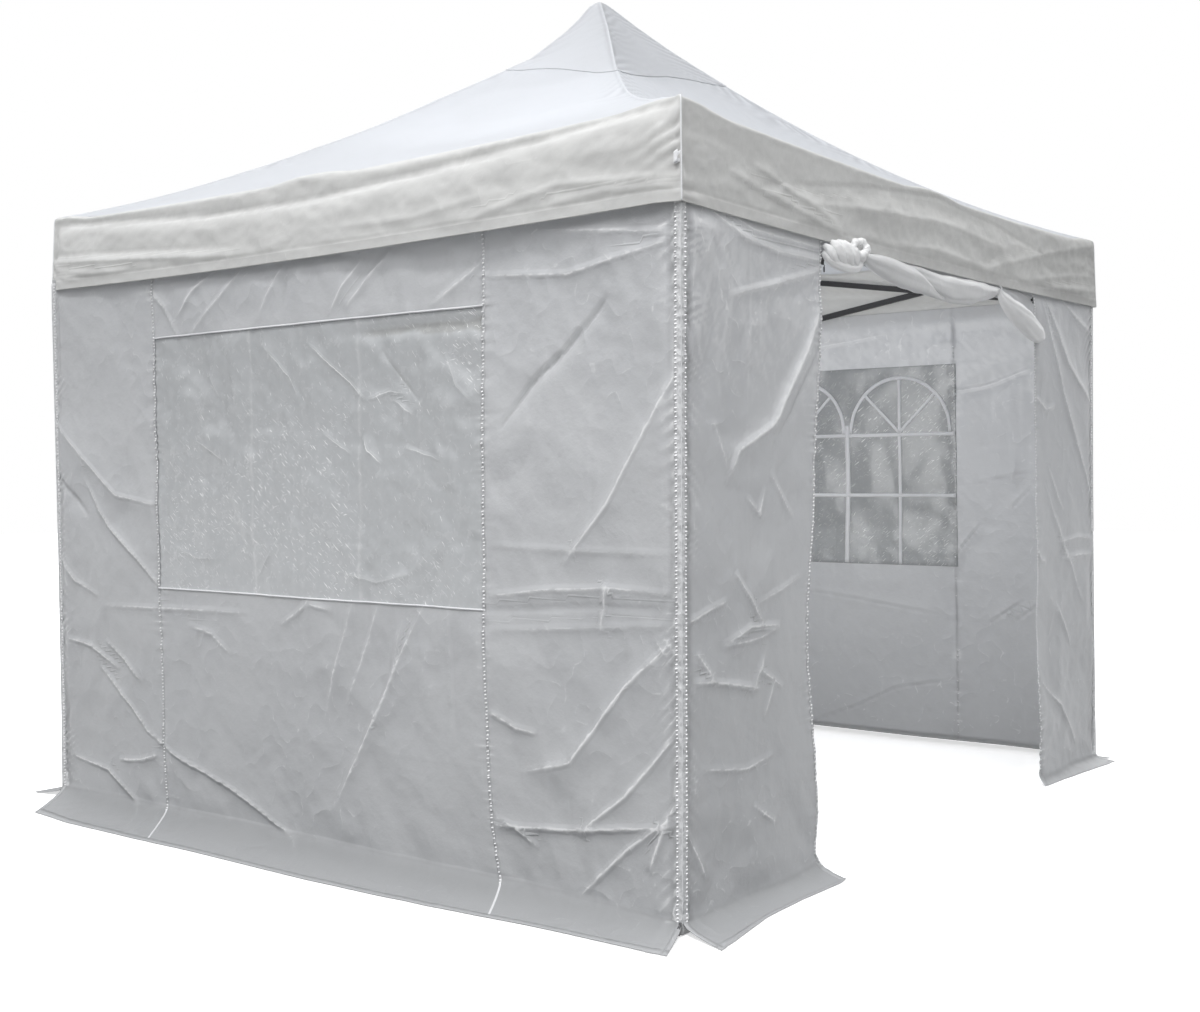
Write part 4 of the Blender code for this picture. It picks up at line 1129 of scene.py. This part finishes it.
def wallLengths(look, step):
    marks = [tent["skirtTop"]]
    if look["window"]:
        marks += [wallCommon["windowFoot"], wallCommon["windowHead"]]
    skirt = np.linspace(tent["skirtEnd"], tent["skirtTop"], 26)
    return np.unique(np.concatenate((skirt, clothLines(marks + [tent["wallTop"]], step))))


def makeWall(key, name, node, flat):
    look = wallLook[key]
    marks = [look["ends"][0], *(look["window"] or ()), look["ends"][1]]
    across, length = clothLines(marks, look["step"]), wallLengths(look, look["step"])
    cutAway = None
    if look["window"]:
        midAcross, midLength = (across[1:] + across[:-1]) / 2, (length[1:] + length[:-1]) / 2
        inside = (midAcross > look["window"][0]) & (midAcross < look["window"][1])
        between = (midLength > wallCommon["windowFoot"]) & (midLength < wallCommon["windowHead"])
        cutAway = inside[None, :] & between[:, None]
    across, length = np.meshgrid(across, length)
    places = wallPoint(key, across, length)
    height, t = clothHeight(length)
    marks = clothMarks(lambda a, z: wallRelief(key, a, z), look["folds"], across, height, 0.009, 0.0013)
    # painted shade on the skirt where it turns up towards the sky, less towards the hem
    shade = wallCommon["skirtShade"] * skirtTurn(key, across, t) * (1 - 0.5 * smoothStep(t, 0.4, 1.0))
    marks["tone"] = marks["tone"] * (1 - t) - shade
    # painted light on the upper part of the front left wall and the right wall
    if key in ("frontLeft", "right"):
        marks["tone"] += 0.7 * smoothStep(height, 1.2, 1.8)
    if key == "frontLeft":
        # the hollow beside the corner zip lies in shade, unevenly down its length
        spread = 0.017 + 0.007 * softWaves(height * 9, 0 * across, 131)
        shade = np.exp(-((tent["wallEnd"] + across - 0.034) / spread) ** 2)
        shade = shade * (0.75 + 0.5 * softWaves(height * 13, 0 * across, 132))
        marks["tone"] -= shade * np.interp(height, *look["zipShade"])
    plan = np.stack((across, length), axis=-1)
    wall = sewCloth(name, places, plan, "wallCloth", wallCommon["thick"], cutAway, marks)
    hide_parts(node)
    hole = (look["window"][1] - look["window"][0]) * 0.9 if look["window"] else 0.0
    "side_truss_" + wallSide(key)
    round(flat[0] * flat[1] - hole, 2)


makeWall("left", "left_wall_cloth", "wall_left", (3.0, 2.1))
makeWall("right", "right_wall_cloth", "wall_right", (3.0, 2.1))
makeWall("back", "back_wall_cloth", "wall_back", (3.0, 2.1))
makeWall("frontLeft", "front_left_cloth", "wall_front_left", (0.70, 2.1))
makeWall("frontRight", "front_right_cloth", "wall_front_right", (0.60, 2.1))
print("walls ready")


# windows
windowLook = {
    "step": {"left": 0.0095, "right": 0.018, "back": 0.022}, "filmThick": 0.0006, "under": 0.012,
    "broad": 0.024, "narrow": 0.017, "railHeights": (1.147, 1.43), "archRadius": 0.255, "archFoot": 1.44,
    "proud": 0.0018, "barThick": 0.0007,
    # hard creases in the left film, as the walls' folds are listed
    "creases": [
        (5, 8, 0.3, (-0.02, 1.67), (0.139, 1.561), (0.256, 1.471)),
        (4, 9, 0.0, (0.256, 1.471), (0.36, 1.50), (0.434, 1.486)),
        (5, 14, 0.0, (0.24, 1.36), (0.264, 1.316), (0.33, 1.27)),
        (4, 6, 0.2, (0.045, 1.374), (0.184, 1.301)),
        (4, 6, 0.2, (-0.627, 1.364), (-0.464, 1.285)),
        (-5, 8, 0.2, (0.33, 1.63), (0.42, 1.53), (0.50, 1.46)),
        (4, 6, 0.0, (0.428, 1.322), (0.594, 1.28)),
        (4, 6, 0.0, (0.371, 1.473), (0.473, 1.42)),
        (4, 7, 0.0, (-0.25, 1.68), (-0.12, 1.57), (-0.07, 1.49)),
        (3, 6, 0.0, (-0.55, 1.60), (-0.49, 1.50)),
        (3, 6, 0.0, (0.60, 1.62), (0.66, 1.50), (0.73, 1.45)),
        (3, 6, 0.0, (-0.78, 0.99), (-0.65, 0.95), (-0.52, 0.95)),
        (3, 6, 0.0, (0.1, 0.93), (0.3, 0.90), (0.45, 0.93)),
        (3, 6, 0.0, (-0.3, 0.90), (-0.22, 0.99)),
    ],
}


def makeFilm(key):
    look = wallLook[key]
    under = windowLook["under"]
    marks = [look["window"][0] - under, look["window"][1] + under]
    levels = [wallCommon["windowFoot"] - under, wallCommon["windowHead"] + under]
    step = windowLook["step"][key]
    across, length = np.meshgrid(clothLines(marks, step), clothLines(levels, step))
    places = wallPoint(key, across, length, -wallCommon["filmBack"], film=True)
    finish = "shadedFilm" if key == "right" else "film"
    film = sewCloth("film_" + key, places, np.stack((across, length), axis=-1), finish,
                    windowLook["filmThick"], marks=filmMarks(key, across, length))
    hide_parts("window_film_" + key)
    return film


def tapeParts(key, line, width, lift):
    # a flat tape along a line on the film: three points across at each step of the line
    line = np.asarray(line, dtype=float)
    ahead = np.gradient(line, axis=0)
    ahead /= np.linalg.norm(ahead, axis=1, keepdims=True)
    side = np.stack((-ahead[:, 1], ahead[:, 0]), axis=-1)
    grid = line[:, None] + side[:, None] * np.array((-0.5, 0.0, 0.5))[None, :, None] * width
    return wallPoint(key, grid[..., 0], grid[..., 1], lift, film=True), grid


def makeGlazing(key):
    # white bars on the inner side of the film: six bays, two rails, and three arches with fans
    look = wallLook[key]
    start, end = look["window"]
    foot = wallCommon["windowFoot"] - 0.008
    bay = (end - start) / 3
    lines = []
    for number in range(1, 6):
        x = start + bay * number / 2
        top = windowLook["archFoot"] + (0.04 if number % 2 == 0 else windowLook["archRadius"])
        rise = np.linspace(foot, top, 42)
        width = windowLook["narrow"] if number % 2 else windowLook["broad"]
        lines.append((np.column_stack((x + 0 * rise, rise)), width))
    for rail in windowLook["railHeights"]:
        run = np.linspace(start - 0.008, end + 0.008, 100)
        lines.append((np.column_stack((run, rail + 0 * run)), windowLook["narrow"]))
    for number in range(3):
        middle = start + bay * (number + 0.5)
        turn = np.linspace(0, np.pi, 40)
        radius, base = windowLook["archRadius"], windowLook["archFoot"]
        arch = np.column_stack((middle + radius * np.cos(turn), base + radius * np.sin(turn)))
        lines.append((arch, windowLook["narrow"]))
        for lean in (math.radians(45), math.radians(135)):
            reach = np.linspace(0, radius, 14)
            ray = np.column_stack((middle + reach * math.cos(lean), base + reach * math.sin(lean)))
            lines.append((ray, windowLook["narrow"] * 0.85))
    behind = -wallCommon["filmBack"] - windowLook["proud"]
    parts = [tapeParts(key, line, width, behind - 0.0003 * (number % 3))
             for number, (line, width) in enumerate(lines)]
    bars = joinParts("glazing_" + key, parts, "tape", thick=windowLook["barThick"], inward=True)
    return bars


for windowKey in ("left", "right", "back"):
    windowFilm, windowBars = makeFilm(windowKey), makeGlazing(windowKey)
print("windows ready")


# seams, stitches and zips
seamLook = {"pitch": 0.0118, "half": 0.0044, "slope": 0.0012, "thread": 0.0024, "threadSides": 5,
            "tape": 0.0058, "binding": 0.0030, "tail": 0.0042, "foot": 0.03, "band": 0.02}


def makeStitches(name, key, rows, half, upright=False, lift=0.0012):
    # rows of short thick stitches, each a closed bead across its seam, all in one piece
    count = int((tent["seamTop"] - seamLook["foot"]) / seamLook["pitch"])
    order = np.arange(count)
    level = seamLook["foot"] + seamLook["pitch"] * (order + 0.3 * softWaves(order * 0.7, np.zeros(count), 51))
    bead = np.array((-1.0, -0.6, 0.6, 1.0))
    across = np.concatenate([np.full((count, 4), row) for row in rows]) + half * bead
    length = np.tile(level, len(rows))[:, None] + seamLook["slope"] * bead
    line = wallPoint(key, across, length, lift, upright=upright)
    ahead = line[:, -1] - line[:, 0]
    ahead /= np.linalg.norm(ahead, axis=1, keepdims=True)
    outward = np.tile(onSide(wallSide(key), np.zeros(1), np.ones(1), np.zeros(1)), (len(line), 1))
    upward = np.cross(ahead, outward)
    angle = np.linspace(0, 2 * np.pi, seamLook["threadSides"], endpoint=False)[None, None, :, None]
    radius = seamLook["thread"] * np.array((0.45, 1.0, 1.0, 0.45))[None, :, None, None]
    circle = np.cos(angle) * upward[:, None, None] + 0.75 * np.sin(angle) * outward[:, None, None]
    plan = np.stack((across, length), axis=-1)[:, :, None] + 0 * angle
    piece = joinParts(name, list(zip(line[:, :, None] + radius * circle, plan)), "thread", closed=True)
    turnOutward(piece)


def flatTapes(name, key, tapes, finish):
    # flat tapes on the cloth, each a grid of across by length, in one piece a little proud of the wall
    parts = [(wallPoint(key, across, length, 0.0009), np.stack((across, length), axis=-1))
             for across, length in tapes]
    joinParts(name, parts, finish, thick=0.0008)


def makeSeams():
    # an overlocked seam beside each window and along the door, and its bound tail across the skirt
    for key, look in wallLook.items():
        seams = look["seams"]
        makeStitches("seam_stitches_" + key, key, seams, seamLook["half"])
        for part, length, finish in (
                ("tape", np.linspace(seamLook["foot"], tent["seamTop"], 180), "wallCloth"),
                ("tail", np.linspace(tent["skirtEnd"], 0.06, 40), "tape")):
            strips = [np.meshgrid(seam + seamLook[part] * np.array((-1, 0, 1)), length) for seam in seams]
            flatTapes("seam_" + part + "_" + key, key, strips, finish)


def makeBindings():
    # a rolled edge round every window, a hem roll along every skirt
    for key in ("left", "right", "back"):
        start, end = wallLook[key]["window"]
        across = np.linspace(start, end, 120)
        paths = [wallPoint(key, across, level + 0 * across, 0.0008)
                 for level in (wallCommon["windowFoot"] - 0.0005, wallCommon["windowHead"] + 0.0005)]
        makeTubes("window_binding_" + key, paths, seamLook["binding"], 8, "tape")
    for key, look in wallLook.items():
        (start, end), band, foot = look["ends"], seamLook["band"], tent["skirtEnd"]
        across = np.linspace(start, end, 160 if look["window"] else 60)
        hem = wallPoint(key, across, foot + 0.001 + 0 * across)
        makeTubes("skirt_hem_" + key, [hem], 0.0020, 8, "wallCloth")
        edge = np.linspace(foot, 0.05, 36)
        flatTapes("skirt_band_" + key, key, [
            np.meshgrid(across, foot + band * np.array((0, 0.5, 1))),
            np.meshgrid(start + band * np.array((0, 0.5, 1)), edge),
            np.meshgrid(end - band * np.array((1, 0.5, 0)), edge)], "wallCloth")


makeSeams()
makeBindings()
print("seams and bindings ready")


# corner zips
zipLook = {"width": 0.0205, "rise": 0.0018, "coil": 0.0012, "half": 0.0034, "foot": 0.0005,
           "threadIn": 0.0158, "footSpread": 0.8}
# at each corner the wall before it and the one after it, going round by the front and the right
corners = {"front_left": ("left", "frontLeft"), "front_right": ("frontRight", "right"),
           "back_right": ("right", "back"), "back_left": ("back", "left")}


def makeCornerZip(corner):
    # a tape folded round the corner from wall to wall, wider at the ground, with a coil on its fold
    before, after = corners[corner]
    end, hands = tent["wallEnd"], ((before, 1), (after, -1))
    length = np.linspace(zipLook["foot"], tent["seamTop"], 150)
    inward = np.array((zipLook["width"] + 0.0012, zipLook["width"], 0.010, 0.004, 0.0005))
    lift = np.array((-0.0015, zipLook["rise"], zipLook["rise"], zipLook["rise"], zipLook["rise"] * 0.7))
    spread = 1 + zipLook["footSpread"] * (1 - smoothStep(length, 0.02, 0.11))
    first, second = (np.stack([wallPoint(key, hand * (end - part * spread), length, rise, upright=True)
                               for part, rise in zip(inward, lift)], 1) for key, hand in hands)
    middle = (first[:, -1:] + second[:, -1:]) / 2
    outward = middle[:, 0] / np.linalg.norm(middle[:, 0] * (1, 1, 0), axis=1, keepdims=True) * (1, 1, 0)
    middle = middle + outward[:, None] * 0.0006
    places = np.concatenate((first, middle, second[:, ::-1]), axis=1)
    wide = np.concatenate((-inward, [0], inward[::-1]))
    wide, rise = np.meshgrid(wide, length)
    # painted light on the lowest few centimetres of the tape, where it lies in shade between the skirts
    tape = sewCloth("zip_tape_" + corner, places, np.stack((wide, rise), axis=-1), "zipTape", 0.0008,
                    marks={"tone": 1 - smoothStep(rise, 0.03, 0.07)})
    coil = makeTubes("zip_coil_" + corner, [middle[:, 0] + outward * 0.001], zipLook["coil"], 8, "coil")
    for key, hand in hands:
        makeStitches("zip_stitches_" + corner + "_" + key, key, [hand * (end - zipLook["threadIn"])],
                     zipLook["half"], True, zipLook["rise"] + 0.0008)


for cornerName in corners:
    makeCornerZip(cornerName)
print("corner zips ready")


# rolled door
def smoothPath(points, count):
    # through every point, each stretch a cubic that leaves with half the step between its neighbours
    points = np.asarray(points, dtype=float)
    padded = np.vstack((2 * points[0] - points[1], points, 2 * points[-1] - points[-2]))
    place = np.linspace(0, len(points) - 1, count)
    start = np.minimum(place.astype(int), len(points) - 2)
    t = (place - start)[:, None]
    a, b, c, d = (padded[start + step] for step in range(4))
    return 0.5 * (2 * b + (c - a) * t + (2 * a - 5 * b + 4 * c - d) * t ** 2
                  + (3 * b - a - 3 * c + d) * t ** 3)


doorLook = {
    # lobes of the roll: points as across, out, height, radius; creases as angle, twist, width, depth share
    "lobes": {
        "crescent": {"points": ((-0.528, 1.500, 1.936, 0.008), (-0.49, 1.505, 1.925, 0.021),
                                (-0.42, 1.512, 1.914, 0.034), (-0.30, 1.516, 1.899, 0.040),
                                (-0.19, 1.514, 1.888, 0.037), (-0.09, 1.510, 1.873, 0.025),
                                (0.0, 1.506, 1.856, 0.010), (0.06, 1.502, 1.853, 0.003)),
                     "creases": ((40, 60, 14, 0.16), (110, -50, 12, 0.10), (300, 40, 16, 0.15)),
                     "squash": 0.85},
        "belly": {"points": ((-0.36, 1.488, 1.938, 0.012), (-0.20, 1.490, 1.920, 0.028),
                             (-0.02, 1.492, 1.903, 0.040), (0.12, 1.494, 1.897, 0.048),
                             (0.25, 1.496, 1.900, 0.046), (0.37, 1.497, 1.909, 0.036),
                             (0.46, 1.499, 1.919, 0.023), (0.522, 1.501, 1.934, 0.008)),
                  "creases": ((30, 90, 12, 0.14), (95, 40, 10, 0.10), (150, -60, 14, 0.16),
                              (250, 30, 18, 0.1)),
                  "squash": 0.8},
        "tail": {"points": ((0.512, 1.501, 1.936, 0.008), (0.545, 1.508, 1.902, 0.024),
                            (0.60, 1.514, 1.875, 0.036), (0.68, 1.517, 1.846, 0.045),
                            (0.77, 1.517, 1.815, 0.045), (0.85, 1.514, 1.796, 0.036),
                            (0.895, 1.511, 1.788, 0.023), (0.915, 1.509, 1.786, 0.008)),
                 "creases": ((35, -70, 12, 0.18), (80, -60, 9, 0.12), (130, 50, 14, 0.14),
                             (230, 20, 14, 0.12)),
                 "squash": 0.8},
        "knotLow": {"points": ((-0.768, 1.500, 1.915, 0.007), (-0.745, 1.510, 1.893, 0.013),
                               (-0.70, 1.519, 1.881, 0.016), (-0.65, 1.522, 1.878, 0.017),
                               (-0.60, 1.520, 1.885, 0.016), (-0.562, 1.513, 1.903, 0.013),
                               (-0.535, 1.503, 1.925, 0.007)),
                    "creases": ((60, 30, 20, 0.14), (120, -20, 16, 0.12)), "squash": 1.0},
        "pleatOne": {"points": ((-0.762, 1.500, 1.938, 0.007), (-0.755, 1.514, 1.925, 0.013),
                                (-0.742, 1.519, 1.905, 0.015), (-0.72, 1.519, 1.888, 0.010)),
                     "creases": ((90, 20, 16, 0.1),), "squash": 1.0},
        "pleatTwo": {"points": ((-0.725, 1.502, 1.952, 0.008), (-0.722, 1.520, 1.938, 0.016),
                                (-0.708, 1.527, 1.912, 0.018), (-0.68, 1.524, 1.888, 0.011)),
                     "creases": ((90, 20, 16, 0.1),), "squash": 1.0},
        "pleatThree": {"points": ((-0.690, 1.504, 1.958, 0.008), (-0.686, 1.524, 1.942, 0.016),
                                  (-0.670, 1.531, 1.915, 0.018), (-0.64, 1.526, 1.889, 0.011)),
                       "creases": ((90, 20, 16, 0.1),), "squash": 1.0},
        "pleatFour": {"points": ((-0.655, 1.506, 1.960, 0.009), (-0.648, 1.525, 1.938, 0.015),
                                 (-0.628, 1.531, 1.912, 0.017), (-0.60, 1.522, 1.892, 0.010)),
                      "creases": ((90, 20, 16, 0.1),), "squash": 1.0},
        "collar": {"points": ((-0.60, 1.512, 1.925, 0.008), (-0.57, 1.517, 1.921, 0.017),
                              (-0.545, 1.512, 1.925, 0.014), (-0.525, 1.504, 1.933, 0.009),
                              (-0.505, 1.500, 1.938, 0.006)),
                   "creases": ((60, 60, 18, 0.12),), "squash": 1.0},
    }, "ring": {"centre": (-0.595, 1.532, 1.945), "radius": 0.024, "tube": 0.0125, "grid": (56, 22),
             "facing": (-0.35, 0.9, 0.25)},
    "header": {"ends": (-0.77, 0.86), "foot": 1.905, "step": 0.014,
               "folds": [(3, 10, 0, (-0.5, 1.96), (-0.3, 1.93)), (3, 9, 0, (0.3, 1.93), (0.5, 1.96)),
                         (3, 10, 0, (0.0, 1.96), (0.12, 1.93))]},
    # the edges of the flap beside the tail, as across and height
    "flap": {"upper": ((0.54, 1.95), (0.70, 1.95), (0.82, 1.935), (0.90, 1.887), (0.962, 1.855),
                       (0.965, 1.815)),
             "lower": ((0.54, 1.92), (0.62, 1.89), (0.70, 1.86), (0.80, 1.83), (0.88, 1.80), (0.93, 1.785))},
    # rings along a lobe and points round it; the painted shading of the long lobes, painted shade on the
    # crescent's underside, where the small ones have 1, painted lighter
    "longGrid": (84, 44), "smallGrid": (28, 24), "tones": {"crescent": -0.7, "belly": 0.0, "tail": 0.0},
}


def lobeRings(shape, count, sides, seed):
    # radius at each angle: the path's own less a groove along every crease, with small soft waves
    line = smoothPath(shape["points"], count)
    centre = onSide("front", line[:, 0], line[:, 1], line[:, 2])
    ahead = np.gradient(centre, axis=0)
    ahead /= np.linalg.norm(ahead, axis=1, keepdims=True)
    upward = np.array((0, 0, 1.0)) - ahead * ahead[:, 2:3]
    upward = upward + 1e-3 * np.array((1, 0, 0))
    upward /= np.linalg.norm(upward, axis=1, keepdims=True)
    outward = np.cross(ahead, upward)
    angle = np.linspace(0, 2 * np.pi, sides, endpoint=False)[None, :]
    along = np.linspace(0, 1, count)[:, None]
    swell = 1 + 0.07 * softWaves(2.2 * np.cos(angle) + 9, along * 7 + seed, seed + 300)
    swell = swell + 0.05 * softWaves(3 * np.sin(angle) + 5, along * 15 + seed, seed + 301)
    for place, twist, width, depth in shape["creases"]:
        off = np.angle(np.exp(1j * (angle - np.radians(place + twist * (along - 0.5)))))
        swell = swell - depth * np.exp(-(np.abs(off) / np.radians(width)) ** 1.2)
    radius = (line[:, 3:4] * swell)[..., None]
    return centre[:, None] + radius * (np.cos(angle)[..., None] * upward[:, None]
                                       + shape["squash"] * np.sin(angle)[..., None] * outward[:, None])


def makeRolledDoor():
    parts, tones = [], []
    for number, (lobe, shape) in enumerate(doorLook["lobes"].items()):
        count, sides = doorLook["smallGrid" if len(shape["points"]) < 6 else "longGrid"]
        around, along = np.meshgrid(np.linspace(0, 0.2, sides), np.linspace(0, 0.5, count))
        parts.append((lobeRings(shape, count, sides, number), np.stack((around, along + number), axis=-1)))
        # painted shade on the crescent and painted light on the small lobes
        tones.append(np.full(count * sides, doorLook["tones"].get(lobe, 1.0)))
    roll = joinParts("rolled_door_panel", parts, "rollCloth", closed=True,
                     marks={"tone": np.concatenate(tones)})
    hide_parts("rolled_door")


def makeKnotRing():
    # the turned-back end of the roll: a ring whose tube swells and pinches as a gathered cloth does
    shape = doorLook["ring"]
    facing = np.array(shape["facing"]) / np.linalg.norm(shape["facing"])
    first = np.cross(facing, (0, 0, 1.0))
    first /= np.linalg.norm(first)
    second = np.cross(facing, first)
    count, sides = shape["grid"]
    turn = np.linspace(0, 2 * np.pi, count, endpoint=False)[:, None]
    angle = np.linspace(0, 2 * np.pi, sides, endpoint=False)[None, :]
    swell = 1 + 0.16 * np.sin(5 * turn + 1.5 * np.sin(angle)) + 0.08 * np.sin(11 * turn - 2 * angle)
    tube = shape["tube"] * swell
    reach = shape["radius"] * (1 + 0.10 * np.cos(2 * turn + 0.6)) + tube * np.cos(angle)
    depth = tube * np.sin(angle)
    ahead, beside = np.cos(turn), np.sin(turn)
    places = onSide("front", *(
        shape["centre"][axis] + reach * (ahead * first[axis] + beside * second[axis]) + depth * facing[axis]
        for axis in range(3)))
    number = np.arange(count * sides).reshape(count, sides)
    number = np.vstack((np.hstack((number, number[:, :1])), np.hstack((number[:1], number[:1, :1]))))
    plan = np.stack((turn * 0.02 + 0 * angle, angle * 0.012 + 0 * turn), axis=-1)
    # the ring is painted lighter all over
    ring = putMesh("door_knot_ring", places, cellsOf(number).reshape(-1, 4).tolist(), plan, "rollCloth",
                   marks={"tone": np.ones(count * sides)})
    turnOutward(ring)


def makeHeader():
    # the band above the roll, and the flap beside its tail
    look = doorLook["header"]
    levels = clothLines((look["foot"], tent["wallTop"]), 0.010)
    across, height = np.meshgrid(clothLines(look["ends"], look["step"]), levels)
    relief = foldRelief(across, height, look["folds"])
    band = sewCloth("door_header", onSide("front", across, 1.4895 + relief, height),
                    np.stack((across, height), axis=-1), "wallCloth")
    s, t = np.meshgrid(np.linspace(0, 1, 26), np.linspace(0, 1, 16))
    upper, lower = (smoothPath(doorLook["flap"][edge], 26) for edge in ("upper", "lower"))
    across = lower[None, :, 0] * (1 - t) + upper[None, :, 0] * t
    height = lower[None, :, 1] * (1 - t) + upper[None, :, 1] * t
    wave = 0.006 * np.sin(2.6 * np.pi * s + 2 * t) * t * (1 - 0.6 * t)
    out = 1.4985 + wave + 0.003 * creasedWaves(s * 5, t * 3, 33)
    flap = sewCloth("door_flap", onSide("front", across, out, height), np.stack((across, height), axis=-1),
                    "wallCloth")


makeRolledDoor()
makeKnotRing()
makeHeader()
print("rolled door ready")


# small fittings
def pebbleParts(centre, half, power=0.55, count=14):
    # a rounded block: each coordinate is the half size times cosine or sine raised to a power
    turn = np.linspace(0, 2 * np.pi, count * 2, endpoint=False)[None, :]
    rise = np.linspace(-np.pi / 2, np.pi / 2, count)[1:-1, None]
    level, upright, first, second = (np.sign(value) * np.abs(value) ** power for value in (
        np.cos(rise), np.sin(rise), np.cos(turn), np.sin(turn)))
    across, out, height = level * first * half[0], level * second * half[1], upright * half[2] + 0 * turn
    return centre[0] + across, centre[1] - out, centre[2] + height


def makeFitting(name, side, pebbles, cords, finish):
    # rounded blocks and bent wires in one piece
    shapes = [onSide(side, *pebbleParts(centre, half)) for centre, half in pebbles]
    for points, radius in cords:
        line = smoothPath(points, 8 * len(points))
        shapes.append(tubeParts(onSide(side, *line.T), radius, 8))
    piece = joinParts(name, [(rings, rings[..., :2]) for rings in shapes], finish, closed=True)
    turnOutward(piece)


fittings = {
    "door_zip_slider": ("front", (((-0.7665, 1.4985, 1.884), (0.0045, 0.004, 0.0075)),
                                  ((-0.760, 1.500, 1.8635), (0.0032, 0.0016, 0.009))),
                        ((((-0.7655, 1.5005, 1.879), (-0.763, 1.5035, 1.874), (-0.761, 1.5005, 1.868)),
                          0.0011),), "nylon"),
    "hem_hook": ("front", (((0.818, 1.5065, 1.9235), (0.006, 0.0045, 0.006)),),
                 ((((0.818, 1.5085, 1.921), (0.822, 1.511, 1.915), (0.817, 1.512, 1.910),
                    (0.812, 1.510, 1.914)), 0.0016),), "nylon"),
    "knot_loop": ("front", (((-0.536, 1.5105, 1.9185), (0.006, 0.005, 0.0065)),),
                  ((((-0.532, 1.515, 1.925), (-0.524, 1.519, 1.940), (-0.520, 1.512, 1.952)), 0.0018),),
                  "nylon"),
    "corner_zip_slider": ("left", (((1.4955, 1.5075, 0.034), (0.0036, 0.0034, 0.0065)),),
                          ((((1.4955, 1.511, 0.032), (1.4925, 1.514, 0.026), (1.493, 1.514, 0.012),
                             (1.4965, 1.514, 0.006),
                             (1.500, 1.514, 0.012), (1.4995, 1.514, 0.026), (1.4965, 1.511, 0.033)), 0.0014),
                             ), "zipMetal"),
}
for fittingName, fitting in fittings.items():
    makeFitting(fittingName, *fitting)


# across, out, height, radius and lean of each tie round the roll
doorTies = ((-0.527, 1.5015, 1.936, 0.0105, 0.2), (0.517, 1.502, 1.936, 0.0105, 0.5))


def makeTieBands():
    # cloth ties round the pinched places of the roll
    for number, (across, out, height, radius, lean) in enumerate(doorTies, 1):
        turn = np.linspace(0, 2 * np.pi, 40)
        path = onSide("front", across + 0.004 * np.sin(turn) * lean, out + radius * np.sin(turn),
                      height + radius * np.cos(turn))
        tie = makeTubes("door_tie_%d" % number, [path], 0.0024, 8, "tape")


def makeTag():
    # a folded ribbon sewn into the near corner seam of the valance
    turn, rise = np.meshgrid(np.linspace(0, 1, 22), np.linspace(0, 1, 8))
    loop = np.sin(np.pi * turn) ** 0.8
    across = 1.5005 - 0.014 * loop - 0.004 * np.cos(np.pi * turn)
    out = 1.506 + 0.0045 * np.cos(np.pi * turn) + 0.006 * loop
    height = 2.066 + 0.030 * rise - 0.008 * loop
    plan = np.stack((turn * 0.03, rise * 0.03), axis=-1)
    tag = sewCloth("corner_tag", onSide("left", across, out, height), plan, "tape", 0.0007)


def makeCornerWelts():
    # a piped seam down every corner of the valance
    drop, folds = np.linspace(0.03, 0.995, 60), valanceLook["foldsLeft"]
    for corner, walls in corners.items():
        before, after = (wallSide(key) for key in walls)
        first, _ = valancePoint(before, tent["half"] + 0 * drop, drop, folds)
        second, _ = valancePoint(after, -tent["half"] + 0 * drop, drop, folds)
        middle = (first + second) / 2
        welt = makeTubes("corner_welt_" + corner, [middle], 0.0021, 8, "tape")


makeTieBands()
makeTag()
makeCornerWelts()
print("fittings ready")


# carried-over frame
for node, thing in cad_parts.items():
    if thing.hide_render:
        continue
    finish = finishes["nylon" if node.startswith(("corner_bracket", "slider", "hub")) else "steel"]
    if not thing.material_slots:
        thing.data.materials.append(finish)
    for slot in thing.material_slots:
        slot.material = finish
print("frame finishes ready")
